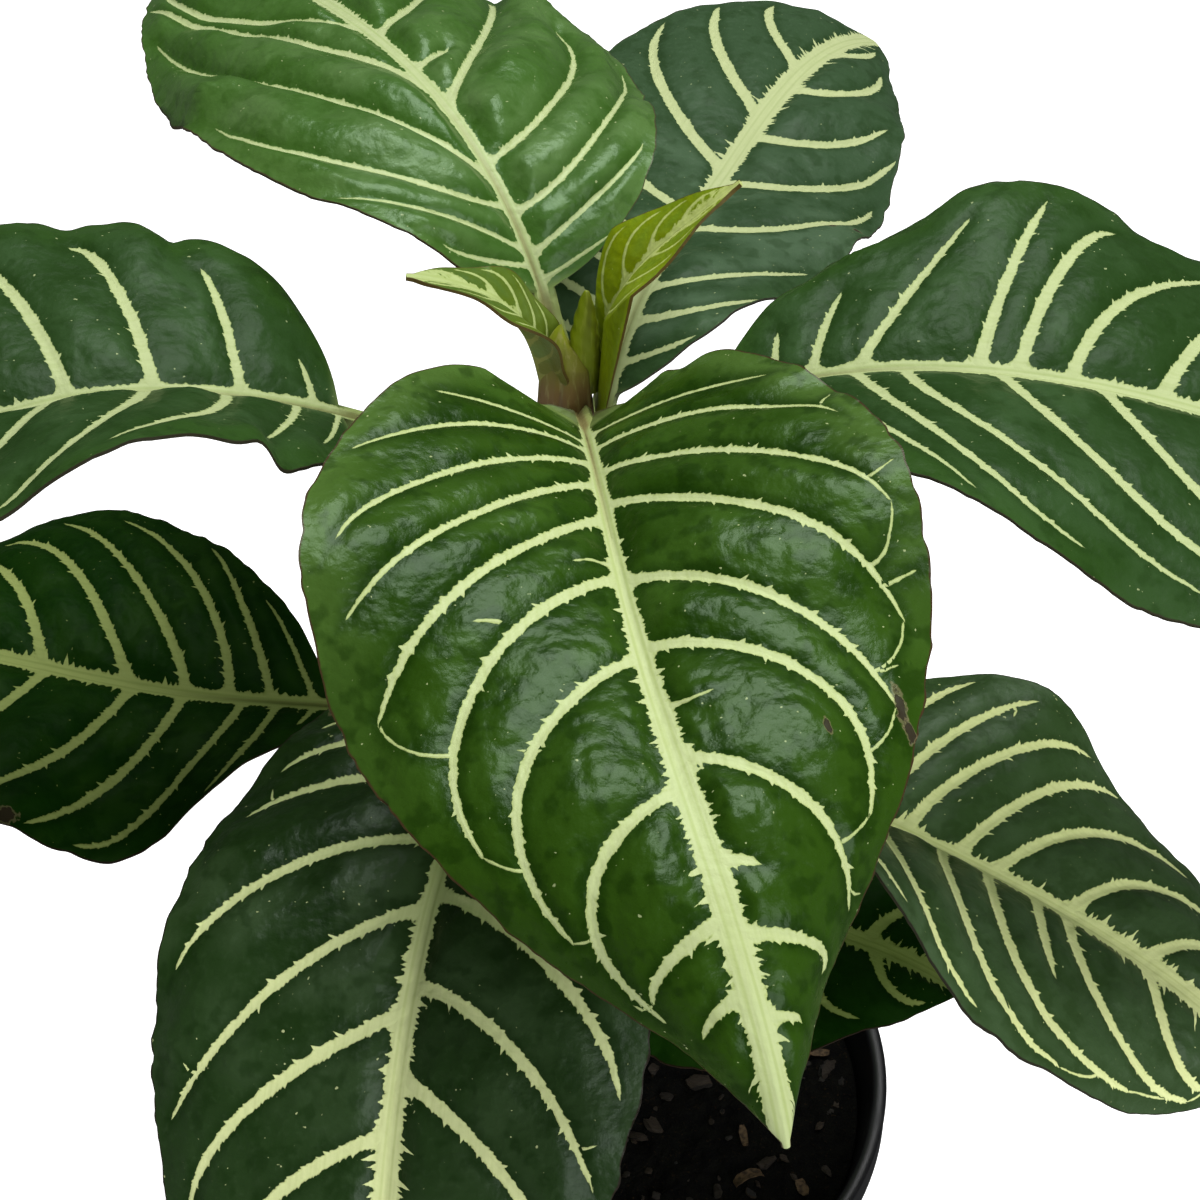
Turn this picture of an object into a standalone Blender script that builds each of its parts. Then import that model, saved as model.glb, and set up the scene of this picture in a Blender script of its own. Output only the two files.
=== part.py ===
# Zebra plant growing in a black nursery pot. Metres, +Z up.
# The origin is the middle of the pot's flat underside, and -Y is the front.

import math

import bmesh
import bpy
import numpy as np

# Space left between pieces that touch on the real plant.
GAP = 0.0003

POT_HEIGHT = 0.100
POT_RIM_RADIUS = 0.065
POT_FOOT_RADIUS = 0.046
POT_FOOT_ROUNDING = 0.002
POT_WALL = 0.0014
POT_FLOOR = 0.0022
LIP_OVERHANG = 0.0016
LIP_HEIGHT = 0.009
POT_SIDES = 48
DRAIN_HOLES = 8
DRAIN_RADIUS = 0.0042
DRAIN_CIRCLE = 0.034

SOIL_TOP = 0.090
SOIL_LUMP = 0.0016
SOIL_RINGS = 7
SOIL_SEED = 4

# The stem stands a little left of the pot's middle.
STEM_X = -0.002
STEM_FOOT = 0.052
STEM_TOP = 0.2905
STEM_FOOT_RADIUS = 0.0050
STEM_NECK_RADIUS = 0.0034
STEM_TOP_RADIUS = 0.0026
# Above this height the stem narrows to its growing tip.
STEM_NECK = 0.280
STEM_SIDES = 14
JOINT_SWELLING = 0.0005
JOINT_REACH = 0.005
JOINT_HEIGHTS = (0.122, 0.166, 0.187, 0.208, 0.241, 0.269)
# Plain rings of the stem between the soil and its lowest joint.
STEM_BELOW_JOINTS = (0.094, 0.108)

BLADE_THICKNESS = 0.0008
# The midrib stands out below the blade, deepest at the stalk of a full-sized leaf.
RIB_DEPTH = 0.0024
RIB_HALF_WIDTH = 0.0026
RIB_WIDEST_SHARE = 0.35
RIB_THINNING = 0.85
FULL_STALK_HALF = 0.0021
TIP_HALF_WIDTH = 0.0006
QUILT_HEIGHT = 0.0007
# How far a side vein runs toward the tip on its way to the edge, as a share of the blade.
VEIN_REACH = 0.8
VEIN_REACH_EARLY = 0.8
VEIN_BEND = 1.7
# How far before the first side vein the even spacing of the veins would begin.
VEIN_LEAD = 0.385
# Below 1, the waved edge is at its fullest before the middle of the blade.
WAVE_EARLY = 0.7
# Curve samples along a leaf, stalk and blade together.
CURVE_SAMPLES = 241
STALK_START_RADIUS = 0.0045
SIDE_COLUMNS = 3
STALK_STEP = 0.008
# Rows between the stalk and the first side vein, as shares of the way to it.
BASE_ROWS = (0.15, 0.5)
LEAST_ROW_STEP = 0.004

BUD_HEIGHT = 0.013
BUD_HALF_WIDTH = 0.0021
BUD_HALF_DEPTH = 0.0012
BUD_SIDES = 10

# Each leaf leaves the stem at a height and an azimuth in degrees: 0 points at the front,
# 90 at the right. Swing is how far it has turned by its tip. Base and tip are the fullness
# of the outline at either end, where a smaller number is a fuller end. Left and right are
# the sides seen from beyond the tip, and lopsided is how much wider the right half is.
# Rise is the climb of the midrib in degrees at four places from the stem to the tip. Roll,
# fold and camber are in degrees too, from the stem to the tip: roll tips the right side up,
# fold lifts both halves into a V, and camber bends each half back down. Wave is the height
# of the waves along the left and the right edge, waves their number and wave_start the
# turn at which they begin. Veins are side veins on each half, and crowding draws them
# toward the stalk.
LEAVES = {
    "leaf_top_front": {
        "height": 0.2885, "azimuth": 4.8, "swing": 17.9, "stalk": 0.0158, "stalk_half": 0.0021,
        "length": 0.1375, "width": 0.0905, "base": 0.485, "tip": 1.00, "lopsided": -0.02,
        "rise": (37.5, 3.7, -5.5, -62), "roll": (-3.4, 5, 5),
        "fold": (43, 16, -18.5), "camber": (1, 57.5),
        "wave": (0.0030, 0.0026), "waves": (3.3, 3.0), "wave_start": (0.185, 0.285),
        "veins": 10, "crowding": 2.2,
    },
    "leaf_top_back": {
        "height": 0.2895, "azimuth": -151.6, "swing": 6.2, "stalk": 0.0160, "stalk_half": 0.0021,
        "length": 0.1450, "width": 0.0835, "base": 0.59, "tip": 0.785, "lopsided": -0.05,
        "rise": (70.5, 7, -13, -21), "roll": (10, 4.5, 0),
        "fold": (32, -3, 14), "camber": (13, 30.5),
        "wave": (0.0027, 0.0032), "waves": (2.6, 2.8), "wave_start": (0.08, 0.095),
        "veins": 10, "crowding": 1.7,
    },
    "leaf_upper_left": {
        "height": 0.2690, "azimuth": -76.6, "swing": 6.8, "stalk": 0.0430, "stalk_half": 0.0021,
        "length": 0.1480, "width": 0.0905, "base": 0.485, "tip": 0.81, "lopsided": 0.0,
        "rise": (41.5, 18.2, -31.7, -32), "roll": (-5.7, 10.4, 0.5),
        "fold": (20.5, 23.3, 6), "camber": (10.5, 24.5),
        "wave": (0.0026, 0.0055), "waves": (2.9, 3.1), "wave_start": (0.06, 0.58),
        "veins": 9, "crowding": 1.5,
    },
    "leaf_upper_right": {
        "height": 0.2700, "azimuth": 82.6, "swing": -4.0, "stalk": 0.0285, "stalk_half": 0.0021,
        "length": 0.1565, "width": 0.0925, "base": 0.635, "tip": 0.75, "lopsided": -0.03,
        "rise": (58.8, 7.1, -17.6, -34.5), "roll": (-6.3, 0.8, 4.2),
        "fold": (26.3, 15, 0.6), "camber": (8.4, 34.5),
        "wave": (0.0033, 0.0036), "waves": (2.4, 2.9), "wave_start": (-0.335, 0.34),
        "veins": 9, "crowding": 1.5,
    },
    "leaf_middle_back": {
        "height": 0.2500, "azimuth": 165.5, "swing": -18.5, "stalk": 0.0290, "stalk_half": 0.0021,
        "length": 0.1560, "width": 0.0780, "base": 0.66, "tip": 0.80, "lopsided": 0.17,
        "rise": (77, -6.4, 1, -30), "roll": (-3, 2, 18),
        "fold": (33, 2.3, 8), "camber": (8.5, 23),
        "wave": (0.0031, 0.0031), "waves": (3.1, 3.1), "wave_start": (0.025, 0.57),
        "veins": 9, "crowding": 1.5,
    },
    "leaf_middle_front": {
        "height": 0.2360, "azimuth": -16.8, "swing": 16.8, "stalk": 0.0280, "stalk_half": 0.0021,
        "length": 0.1565, "width": 0.0792, "base": 0.61, "tip": 0.73, "lopsided": -0.05,
        "rise": (33.5, 7.7, -41.7, -43.5), "roll": (3, 11.5, 0.6),
        "fold": (21.5, 14, 5), "camber": (15.5, 31),
        "wave": (0.0012, 0.0029), "waves": (2.9, 2.9), "wave_start": (-0.02, 0.29),
        "veins": 10, "crowding": 1.5,
    },
    "leaf_lower_left": {
        "height": 0.2085, "azimuth": -95.0, "swing": -6.3, "stalk": 0.0430, "stalk_half": 0.0019,
        "length": 0.1150, "width": 0.0852, "base": 0.77, "tip": 0.84, "lopsided": -0.015,
        "rise": (4.7, -1.2, 8.4, -32), "roll": (1, -5.4, 14),
        "fold": (18, 13, 4), "camber": (10.5, 30),
        "wave": (0.0010, 0.0068), "waves": (2.8, 2.7), "wave_start": (-0.08, 1.0),
        "veins": 9, "crowding": 1.5,
    },
    "leaf_lower_right": {
        "height": 0.2075, "azimuth": 63.3, "swing": -3.0, "stalk": 0.0185, "stalk_half": 0.0019,
        "length": 0.1243, "width": 0.0851, "base": 0.655, "tip": 0.80, "lopsided": -0.025,
        "rise": (21, -3.2, -13.3, -38), "roll": (-7.8, -16.7, 4.5),
        "fold": (26, 25.5, -10), "camber": (-5.6, 38),
        "wave": (-0.0033, 0.0044), "waves": (2.5, 2.4), "wave_start": (-0.13, 0.185),
        "veins": 9, "crowding": 1.5,
    },
    "leaf_bottom_back": {
        "height": 0.1870, "azimuth": 172.0, "swing": 6.0, "stalk": 0.0160, "stalk_half": 0.0017,
        "length": 0.0980, "width": 0.0640, "base": 0.60, "tip": 0.80, "lopsided": 0.03,
        "rise": (30, 4, -18, -34), "roll": (2, -4, 3),
        "fold": (24, 14, 4), "camber": (8, 28),
        "wave": (0.0024, 0.0028), "waves": (2.6, 2.8), "wave_start": (0.15, 0.50),
        "veins": 8, "crowding": 1.5,
    },
    "leaf_bottom_front": {
        "height": 0.1870, "azimuth": -14.0, "swing": -8.0, "stalk": 0.0120, "stalk_half": 0.0017,
        "length": 0.0640, "width": 0.0400, "base": 0.60, "tip": 0.85, "lopsided": 0.0,
        "rise": (24, 0, -20, -36), "roll": (0, 3, 0),
        "fold": (26, 14, 4), "camber": (8, 28),
        "wave": (0.0016, 0.0018), "waves": (2.5, 2.3), "wave_start": (0.10, 0.40),
        "veins": 7, "crowding": 1.5,
    },
    "leaf_bottom_right": {
        "height": 0.1670, "azimuth": 67.0, "swing": 0.5, "stalk": 0.0090, "stalk_half": 0.0017,
        "length": 0.0680, "width": 0.0775, "base": 0.45, "tip": 0.92, "lopsided": 0.0,
        "rise": (18, 4, -1, -26), "roll": (2, 4, -9),
        "fold": (18, 7, 12), "camber": (13, 25),
        "wave": (0.0017, 0.0030), "waves": (3.0, 3.0), "wave_start": (0.0, 0.40),
        "veins": 7, "crowding": 1.4,
    },
    "leaf_bottom_left": {
        "height": 0.1670, "azimuth": -106.0, "swing": 4.0, "stalk": 0.0120, "stalk_half": 0.0017,
        "length": 0.0640, "width": 0.0500, "base": 0.55, "tip": 0.85, "lopsided": 0.02,
        "rise": (16, 2, -8, -26), "roll": (0, -4, 4),
        "fold": (20, 12, 6), "camber": (10, 26),
        "wave": (0.0018, 0.0022), "waves": (2.6, 2.4), "wave_start": (0.20, 0.55),
        "veins": 7, "crowding": 1.4,
    },
    "young_leaf_left": {
        "height": 0.2885, "azimuth": -82.0, "swing": -3.3, "stalk": 0.0035, "stalk_half": 0.0010,
        "length": 0.0365, "width": 0.0152, "base": 0.575, "tip": 1.00, "lopsided": 0.04,
        "rise": (88, 69.5, 29, 7), "roll": (2, 2, 1),
        "fold": (51.5, 26, 23.5), "camber": (3.5, 17),
        "wave": (0.0008, 0.0008), "waves": (2.6, 2.7), "wave_start": (-0.21, 0.25),
        "veins": 5, "crowding": 1.4,
    },
    "young_leaf_right": {
        "height": 0.2870, "azimuth": 96.5, "swing": -1.7, "stalk": 0.0015, "stalk_half": 0.0010,
        "length": 0.0505, "width": 0.0202, "base": 0.585, "tip": 1.00, "lopsided": -0.01,
        "rise": (104, 74.6, 46, 42), "roll": (1, 6.5, -2),
        "fold": (39, 23, 20), "camber": (5, 14),
        "wave": (0.0009, 0.0007), "waves": (2.8, 3.1), "wave_start": (-0.22, 0.52),
        "veins": 6, "crowding": 1.4,
    },
}


def clear_scene():
    for thing in list(bpy.data.objects):
        bpy.data.objects.remove(thing, do_unlink=True)


def material(name, colour, roughness, metallic=0.0):
    made = bpy.data.materials.new(name)
    made.use_nodes = True
    shader = made.node_tree.nodes["Principled BSDF"]
    shader.inputs["Base Color"].default_value = (*colour, 1.0)
    shader.inputs["Roughness"].default_value = roughness
    shader.inputs["Metallic"].default_value = metallic
    made.diffuse_color = (*colour, 1.0)
    return made


def add_object(name, points, faces, surface, parent):
    mesh = bpy.data.meshes.new(name)
    mesh.from_pydata([tuple(point) for point in points], [], faces)
    mesh.shade_smooth()
    mesh.set_sharp_from_angle(angle=math.radians(50))
    mesh.materials.append(surface)
    made = bpy.data.objects.new(name, mesh)
    made.parent = parent
    bpy.context.scene.collection.objects.link(made)
    return made


def ring(radius, height, sides, centre_x=0.0, depth=None):
    """One ring of points round a vertical line, round or, with a depth, oval."""
    turn = 2 * math.pi * np.arange(sides) / sides
    across = radius if depth is None else depth
    return np.stack(
        [centre_x + radius * np.cos(turn), across * np.sin(turn), np.full(sides, height)], axis=1
    )


def skin_of_rings(first_pole, rings, last_pole):
    """Points and faces of the closed solid that runs through the rings, bottom to top outside."""
    sides = len(rings[0])
    points = np.concatenate([[first_pole], *rings, [last_pole]])
    last = len(points) - 1
    faces = []
    for side in range(sides):
        after = (side + 1) % sides
        faces.append((0, 1 + after, 1 + side))
        for step in range(len(rings) - 1):
            low = 1 + step * sides
            high = low + sides
            faces.append((low + side, low + after, high + after))
            faces.append((low + side, high + after, high + side))
        top = 1 + (len(rings) - 1) * sides
        faces.append((top + side, top + after, last))
    return points, faces


def pot_inner_radius(height):
    top = POT_RIM_RADIUS - LIP_OVERHANG - POT_WALL
    foot = POT_FOOT_RADIUS - POT_WALL
    return foot + (top - foot) * height / POT_HEIGHT


def make_drain_cutter(parent):
    build = bmesh.new()
    for hole in range(DRAIN_HOLES):
        turn = 2 * math.pi * (hole + 0.5) / DRAIN_HOLES
        made = bmesh.ops.create_cone(
            build, cap_ends=True, segments=12, radius1=DRAIN_RADIUS, radius2=DRAIN_RADIUS,
            depth=4 * POT_FLOOR,
        )
        place = (DRAIN_CIRCLE * math.cos(turn), DRAIN_CIRCLE * math.sin(turn), 0.0)
        bmesh.ops.translate(build, verts=made["verts"], vec=place)
    mesh = bpy.data.meshes.new("drain_cutter")
    build.to_mesh(mesh)
    build.free()
    cutter = bpy.data.objects.new("drain_cutter", mesh)
    cutter.parent = parent
    cutter.hide_render = True
    cutter.display_type = "WIRE"
    bpy.context.scene.collection.objects.link(cutter)
    return cutter


def make_pot(parent):
    """A tapered pot with a turned-out lip, a flat floor and a circle of drain holes."""
    wall_top = POT_RIM_RADIUS - LIP_OVERHANG
    slope = (wall_top - POT_FOOT_RADIUS) / POT_HEIGHT
    lip_bottom = POT_HEIGHT - LIP_HEIGHT
    profile = [
        (POT_FOOT_RADIUS - POT_FOOT_ROUNDING, 0.0),
        (POT_FOOT_RADIUS, POT_FOOT_ROUNDING),
        (POT_FOOT_RADIUS + slope * lip_bottom, lip_bottom),
        (POT_RIM_RADIUS - 0.3 * LIP_OVERHANG, lip_bottom),
        (POT_RIM_RADIUS, lip_bottom + 0.4 * LIP_OVERHANG),
        (POT_RIM_RADIUS, POT_HEIGHT - 0.5 * LIP_OVERHANG),
        (POT_RIM_RADIUS - 0.5 * LIP_OVERHANG, POT_HEIGHT),
        (pot_inner_radius(POT_HEIGHT) + 0.3 * POT_WALL, POT_HEIGHT),
        (pot_inner_radius(POT_HEIGHT), POT_HEIGHT - 0.4 * LIP_OVERHANG),
        (pot_inner_radius(0.6 * POT_HEIGHT), 0.6 * POT_HEIGHT),
        (pot_inner_radius(POT_FLOOR), POT_FLOOR),
    ]
    rings = [ring(radius, height, POT_SIDES) for radius, height in profile]
    points, faces = skin_of_rings((0, 0, 0), rings, (0, 0, POT_FLOOR))
    plastic = material("black_pot_plastic", (0.012, 0.012, 0.014), 0.42)
    pot = add_object("pot", points, faces, plastic, parent)
    holes = pot.modifiers.new("drain_holes", "BOOLEAN")
    holes.operation = "DIFFERENCE"
    holes.object = make_drain_cutter(parent)
    return pot


def make_soil(parent):
    """Potting soil that fills the pot, with a plain hole for the stem."""
    noise = np.random.default_rng(SOIL_SEED)
    foot = POT_FLOOR + GAP
    hole_radius = STEM_FOOT_RADIUS + GAP
    hole_floor = STEM_FOOT - GAP
    rings = [
        ring(pot_inner_radius(foot) - GAP, foot, POT_SIDES),
        ring(pot_inner_radius(SOIL_TOP) - GAP - SOIL_LUMP, SOIL_TOP - SOIL_LUMP, POT_SIDES),
    ]
    edge_radius = pot_inner_radius(SOIL_TOP) - GAP - 2 * SOIL_LUMP
    for step in range(1, SOIL_RINGS):
        inward = step / SOIL_RINGS
        radius = edge_radius + (hole_radius - edge_radius) * inward
        lumpy = ring(radius, SOIL_TOP, POT_SIDES, STEM_X * inward)
        lumpy[:, 2] += noise.uniform(-SOIL_LUMP, SOIL_LUMP, POT_SIDES)
        rings.append(lumpy)
    rings.append(ring(hole_radius, SOIL_TOP, POT_SIDES, STEM_X))
    rings.append(ring(hole_radius, hole_floor, POT_SIDES, STEM_X))
    points, faces = skin_of_rings((0, 0, foot), rings, (STEM_X, 0, hole_floor))
    earth = material("potting_soil", (0.022, 0.014, 0.010), 0.95)
    return add_object("soil", points, faces, earth, parent)


def stem_radius(height):
    long_part = np.interp(height, (STEM_FOOT, STEM_NECK), (STEM_FOOT_RADIUS, STEM_NECK_RADIUS))
    narrowing = np.interp(height, (STEM_NECK, STEM_TOP), (0, STEM_NECK_RADIUS - STEM_TOP_RADIUS))
    joints = sum(np.exp(-(((height - joint) / JOINT_REACH) ** 2)) for joint in JOINT_HEIGHTS)
    above_soil = height > SOIL_TOP
    return long_part - narrowing + JOINT_SWELLING * np.minimum(joints, 1) * above_soil


def make_stem(parent):
    """The upright stem, a little thicker at each joint where a pair of leaves grows."""
    heights = [STEM_FOOT, *STEM_BELOW_JOINTS]
    for joint in JOINT_HEIGHTS:
        heights += [joint - JOINT_REACH, joint, joint + JOINT_REACH]
    heights += [STEM_NECK, (STEM_NECK + STEM_TOP) / 2, STEM_TOP - 0.0008]
    rings = [ring(stem_radius(height), height, STEM_SIDES, STEM_X) for height in heights]
    rings.append(ring(0.6 * STEM_TOP_RADIUS, STEM_TOP, STEM_SIDES, STEM_X))
    points, faces = skin_of_rings((STEM_X, 0, STEM_FOOT), rings, (STEM_X, 0, STEM_TOP))
    bark = material("green_brown_stem", (0.070, 0.062, 0.026), 0.55)
    return add_object("stem", points, faces, bark, parent)


def make_bud(parent):
    """The closed pair of tiny leaves at the growing tip, flattened and pointed."""
    shares = (0.0, 0.25, 0.5, 0.75, 0.92)
    rings = []
    for share in shares:
        full = math.sqrt(1 - share) * (0.72 + 0.9 * share * (1 - share))
        rings.append(
            ring(
                BUD_HALF_DEPTH * full, STEM_TOP + GAP + BUD_HEIGHT * share, BUD_SIDES,
                STEM_X, BUD_HALF_WIDTH * full,
            )
        )
    foot = (STEM_X, 0, STEM_TOP + GAP)
    point = (STEM_X, 0, STEM_TOP + GAP + BUD_HEIGHT)
    points, faces = skin_of_rings(foot, rings, point)
    green = material("young_green_bud", (0.230, 0.290, 0.045), 0.45)
    return add_object("bud", points, faces, green, parent)


def smooth_between(values, along):
    """A smooth curve through evenly spaced values, read at a share from 0 to 1."""
    count = len(values) - 1
    place = np.clip(along, 0, 1) * count
    before = np.minimum(place.astype(int), count - 1)
    part = place - before
    padded = np.concatenate([
        [2 * values[0] - values[1]], np.asarray(values, float), [2 * values[-1] - values[-2]]
    ])
    a, b, c, d = (padded[before + step] for step in range(4))
    cubic = 2 * b + (c - a) * part
    cubic = cubic + (2 * a - 5 * b + 4 * c - d) * part**2 + (3 * b - a - 3 * c + d) * part**3
    return 0.5 * cubic


def leaf_curve(leaf):
    """The midrib from the stem to the tip, with the directions along it."""
    along = np.linspace(0, 1, CURVE_SAMPLES)
    total = leaf["stalk"] + leaf["length"]
    climb = np.radians(smooth_between(leaf["rise"], along))
    turn = np.radians(leaf["azimuth"] + leaf["swing"] * along**1.5)
    heading = np.stack(
        [np.cos(climb) * np.sin(turn), -np.cos(climb) * np.cos(turn), np.sin(climb)], axis=1
    )
    start = np.array([
        STEM_X + STALK_START_RADIUS * math.sin(turn[0]),
        -STALK_START_RADIUS * math.cos(turn[0]),
        leaf["height"],
    ])
    steps = (heading[1:] + heading[:-1]) / 2 * total / (CURVE_SAMPLES - 1)
    midrib = start + np.concatenate([np.zeros((1, 3)), np.cumsum(steps, axis=0)])
    level = np.stack([np.cos(turn), np.sin(turn), np.zeros_like(turn)], axis=1)
    above = np.cross(heading, level)
    roll = np.radians(smooth_between(leaf["roll"], along))[:, None]
    side = level * np.cos(roll) + above * np.sin(roll)
    up = above * np.cos(roll) - level * np.sin(roll)
    return {"along": along, "total": total, "midrib": midrib, "side": side, "up": up, "climb": climb}


def rib_depth(leaf):
    return RIB_DEPTH * leaf["stalk_half"] / FULL_STALK_HALF


def clear_of_stem(leaf, curve):
    """The first share of the curve whose stalk lies just outside the stem."""
    midrib = curve["midrib"]
    out = np.hypot(midrib[:, 0] - STEM_X, midrib[:, 1])
    lean = rib_depth(leaf) * np.sin(np.clip(curve["climb"], 0, math.pi / 2))
    needed = stem_radius(np.minimum(midrib[:, 2], STEM_TOP)) + 3 * GAP + lean
    return float(curve["along"][np.argmax(out >= needed)])


def seat_on_stem(leaf, curve):
    """The curve with every sample moved to the seat: an upright slice that faces the stem."""
    turn = math.radians(leaf["azimuth"])
    outward = np.array([math.sin(turn), -math.cos(turn), 0])
    middle = np.array([STEM_X, 0, leaf["height"]])
    span = leaf["height"] - np.array([0, 0.5, 1]) * rib_depth(leaf)
    middle = middle + outward * (stem_radius(span).max() + GAP)
    frame = {"midrib": middle, "side": curve["side"][0] * (1, 1, 0), "up": np.array([0, 0, 1.0])}
    frame["side"] = frame["side"] / np.linalg.norm(frame["side"])
    seat = dict(curve)
    for key, value in frame.items():
        seat[key] = np.repeat(value[None], CURVE_SAMPLES, axis=0)
    return seat


def half_width(leaf, place):
    """Half the width at a share of the blade, 0 where the stalk ends and 1 at the tip."""
    inside = np.clip(place, 0, 1)
    widest = leaf["base"] / (leaf["base"] + leaf["tip"])
    peak = widest ** leaf["base"] * (1 - widest) ** leaf["tip"]
    blade = leaf["width"] / 2 * inside ** leaf["base"] * (1 - inside) ** leaf["tip"] / peak
    least = TIP_HALF_WIDTH + (leaf["stalk_half"] - TIP_HALF_WIDTH) * np.sqrt(1 - inside)
    return np.maximum(blade, least)


def leaf_points(leaf, curve, place, across, lift):
    """Points at shares along the blade and across it (-1 left edge, 1 right edge), with the
    directions that stand off the surface there. Lift is added height."""
    share = np.clip((place * leaf["length"] + leaf["stalk"]) / curve["total"], 0, 1)
    out = np.abs(across)
    hand = np.sign(across)
    width = half_width(leaf, place) * (1 + hand * leaf["lopsided"])
    fold = np.radians(smooth_between(leaf["fold"], share))
    camber = np.radians(smooth_between(leaf["camber"], share))
    camber = np.where(np.abs(camber) < 0.001, 0.001, camber)
    slope = fold - camber * out
    sideways = width * (np.sin(fold) - np.sin(slope)) / camber
    height = width * (np.cos(slope) - np.cos(fold)) / camber + lift
    inside = np.clip(place, 0, 1)
    swell, count, start = (
        np.where(across < 0, *leaf[key]) for key in ("wave", "waves", "wave_start")
    )
    swell = swell * np.sin(math.pi * inside**WAVE_EARLY) * out**2
    height = height + swell * np.sin(2 * math.pi * (count * inside + start))
    read = share * (CURVE_SAMPLES - 1)
    index = np.minimum(read.astype(int), CURVE_SAMPLES - 2)
    part = (read - index)[..., None]
    midrib, side, up = (
        curve[key][index] * (1 - part) + curve[key][index + 1] * part
        for key in ("midrib", "side", "up")
    )
    points = midrib + (hand * sideways)[..., None] * side + height[..., None] * up
    normals = up * np.cos(slope)[..., None] - side * (hand * np.sin(slope))[..., None]
    return points, normals


def vein_start(leaf, count):
    """Where a side vein leaves the midrib, counted from the stalk: closer together there."""
    even = (count / leaf["veins"] + VEIN_LEAD) / (1 + VEIN_LEAD)
    return even ** leaf["crowding"]


def row_starts(leaf, curve):
    """Places of the rows along the midrib: the seat, the stalk, then each vein and crest."""
    begin = (clear_of_stem(leaf, curve) * curve["total"] - leaf["stalk"]) / leaf["length"]
    stalk_rows = max(2, round(-begin * leaf["length"] / STALK_STEP) + 1)
    stalk = np.linspace(begin, 0, stalk_rows) if begin < -0.01 else np.array([begin])
    veins = vein_start(leaf, np.arange(0, leaf["veins"] - 0.4, 0.5))
    base = np.array(BASE_ROWS) * veins[0]
    rows = np.concatenate([[begin], stalk, base[base > begin + LEAST_ROW_STEP], veins, [1.0]])
    return rows, len(rows) - len(veins) - 1


def leaf_grid(leaf):
    """The upper and lower face of a leaf as two grids of points, row by row."""
    curve = leaf_curve(leaf)
    starts, first_vein = row_starts(leaf, curve)
    columns = 2 * SIDE_COLUMNS + 3
    rib_share = np.minimum(RIB_WIDEST_SHARE, RIB_HALF_WIDTH / half_width(leaf, starts))
    outer = np.arange(1, SIDE_COLUMNS + 1) / SIDE_COLUMNS
    half = [np.zeros_like(starts), rib_share] + [rib_share + (1 - rib_share) * o for o in outer]
    half = np.stack(half, axis=1)
    across = np.concatenate([-half[:, :0:-1], half], axis=1)
    row = np.repeat(starts[:, None], columns, axis=1)
    inside = np.clip(row, 0, 1)
    reach = VEIN_REACH * inside**VEIN_REACH_EARLY * (1 - inside)
    place = row + reach * np.abs(across) ** VEIN_BEND
    on_vein = (np.arange(len(starts)) - first_vein) % 2 == 0
    crest = np.where(on_vein[:, None] == (across < 0), -1.0, 1.0)
    fullness = half_width(leaf, place) / (leaf["width"] / 2)
    blade_rows = (np.arange(len(starts)) >= first_vein)[:, None]
    quilt = QUILT_HEIGHT * crest * fullness * np.sin(math.pi * np.abs(across)) * blade_rows
    points, normals = leaf_points(leaf, curve, place, across, quilt)
    seat = seat_on_stem(leaf, curve)
    points[:1], normals[:1] = leaf_points(leaf, seat, place[:1], across[:1], quilt[:1])
    from_rib = np.abs(across) * half_width(leaf, place) / RIB_HALF_WIDTH
    rib = rib_depth(leaf) * (1 - RIB_THINNING * np.clip(place, 0, 1))
    rib = rib * np.clip(1 - from_rib**2, 0, 1)
    upper = points + normals * BLADE_THICKNESS / 2
    lower = points - normals * (BLADE_THICKNESS / 2 + rib)[..., None]
    return upper, lower


def make_leaf(name, leaf, surface, parent):
    """One closed blade with its stalk, split into triangles alike on both faces."""
    upper, lower = leaf_grid(leaf)
    rows, columns, _ = upper.shape
    points = np.concatenate([upper.reshape(-1, 3), lower.reshape(-1, 3)])
    under = rows * columns
    faces = []
    for row in range(rows - 1):
        for column in range(columns - 1):
            a = row * columns + column
            b = a + 1
            d = a + columns
            c = d + 1
            faces += [(a, c, b), (a, d, c)]
            faces += [(under + a, under + b, under + c), (under + a, under + c, under + d)]
        left = row * columns
        right = left + columns - 1
        faces += [(left, under + left + columns, left + columns)]
        faces += [(left, under + left, under + left + columns)]
        faces += [(right, under + right + columns, under + right)]
        faces += [(right, right + columns, under + right + columns)]
    last = (rows - 1) * columns
    for column in range(columns - 1):
        a, b = column, column + 1
        faces += [(a, under + b, under + a), (a, b, under + b)]
        a, b = last + column, last + column + 1
        faces += [(a, under + b, b), (a, under + a, under + b)]
    return add_object(name, points, faces, surface, parent)


def main():
    clear_scene()
    plant = bpy.data.objects.new("zebra_plant_in_pot", None)
    bpy.context.scene.collection.objects.link(plant)
    make_pot(plant)
    make_soil(plant)
    make_stem(plant)
    make_bud(plant)
    grown = material("deep_green_leaf", (0.020, 0.075, 0.016), 0.30)
    young = material("yellow_green_young_leaf", (0.200, 0.260, 0.040), 0.38)
    for name, leaf in LEAVES.items():
        make_leaf(name, leaf, young if name.startswith("young") else grown, plant)


main()
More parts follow.
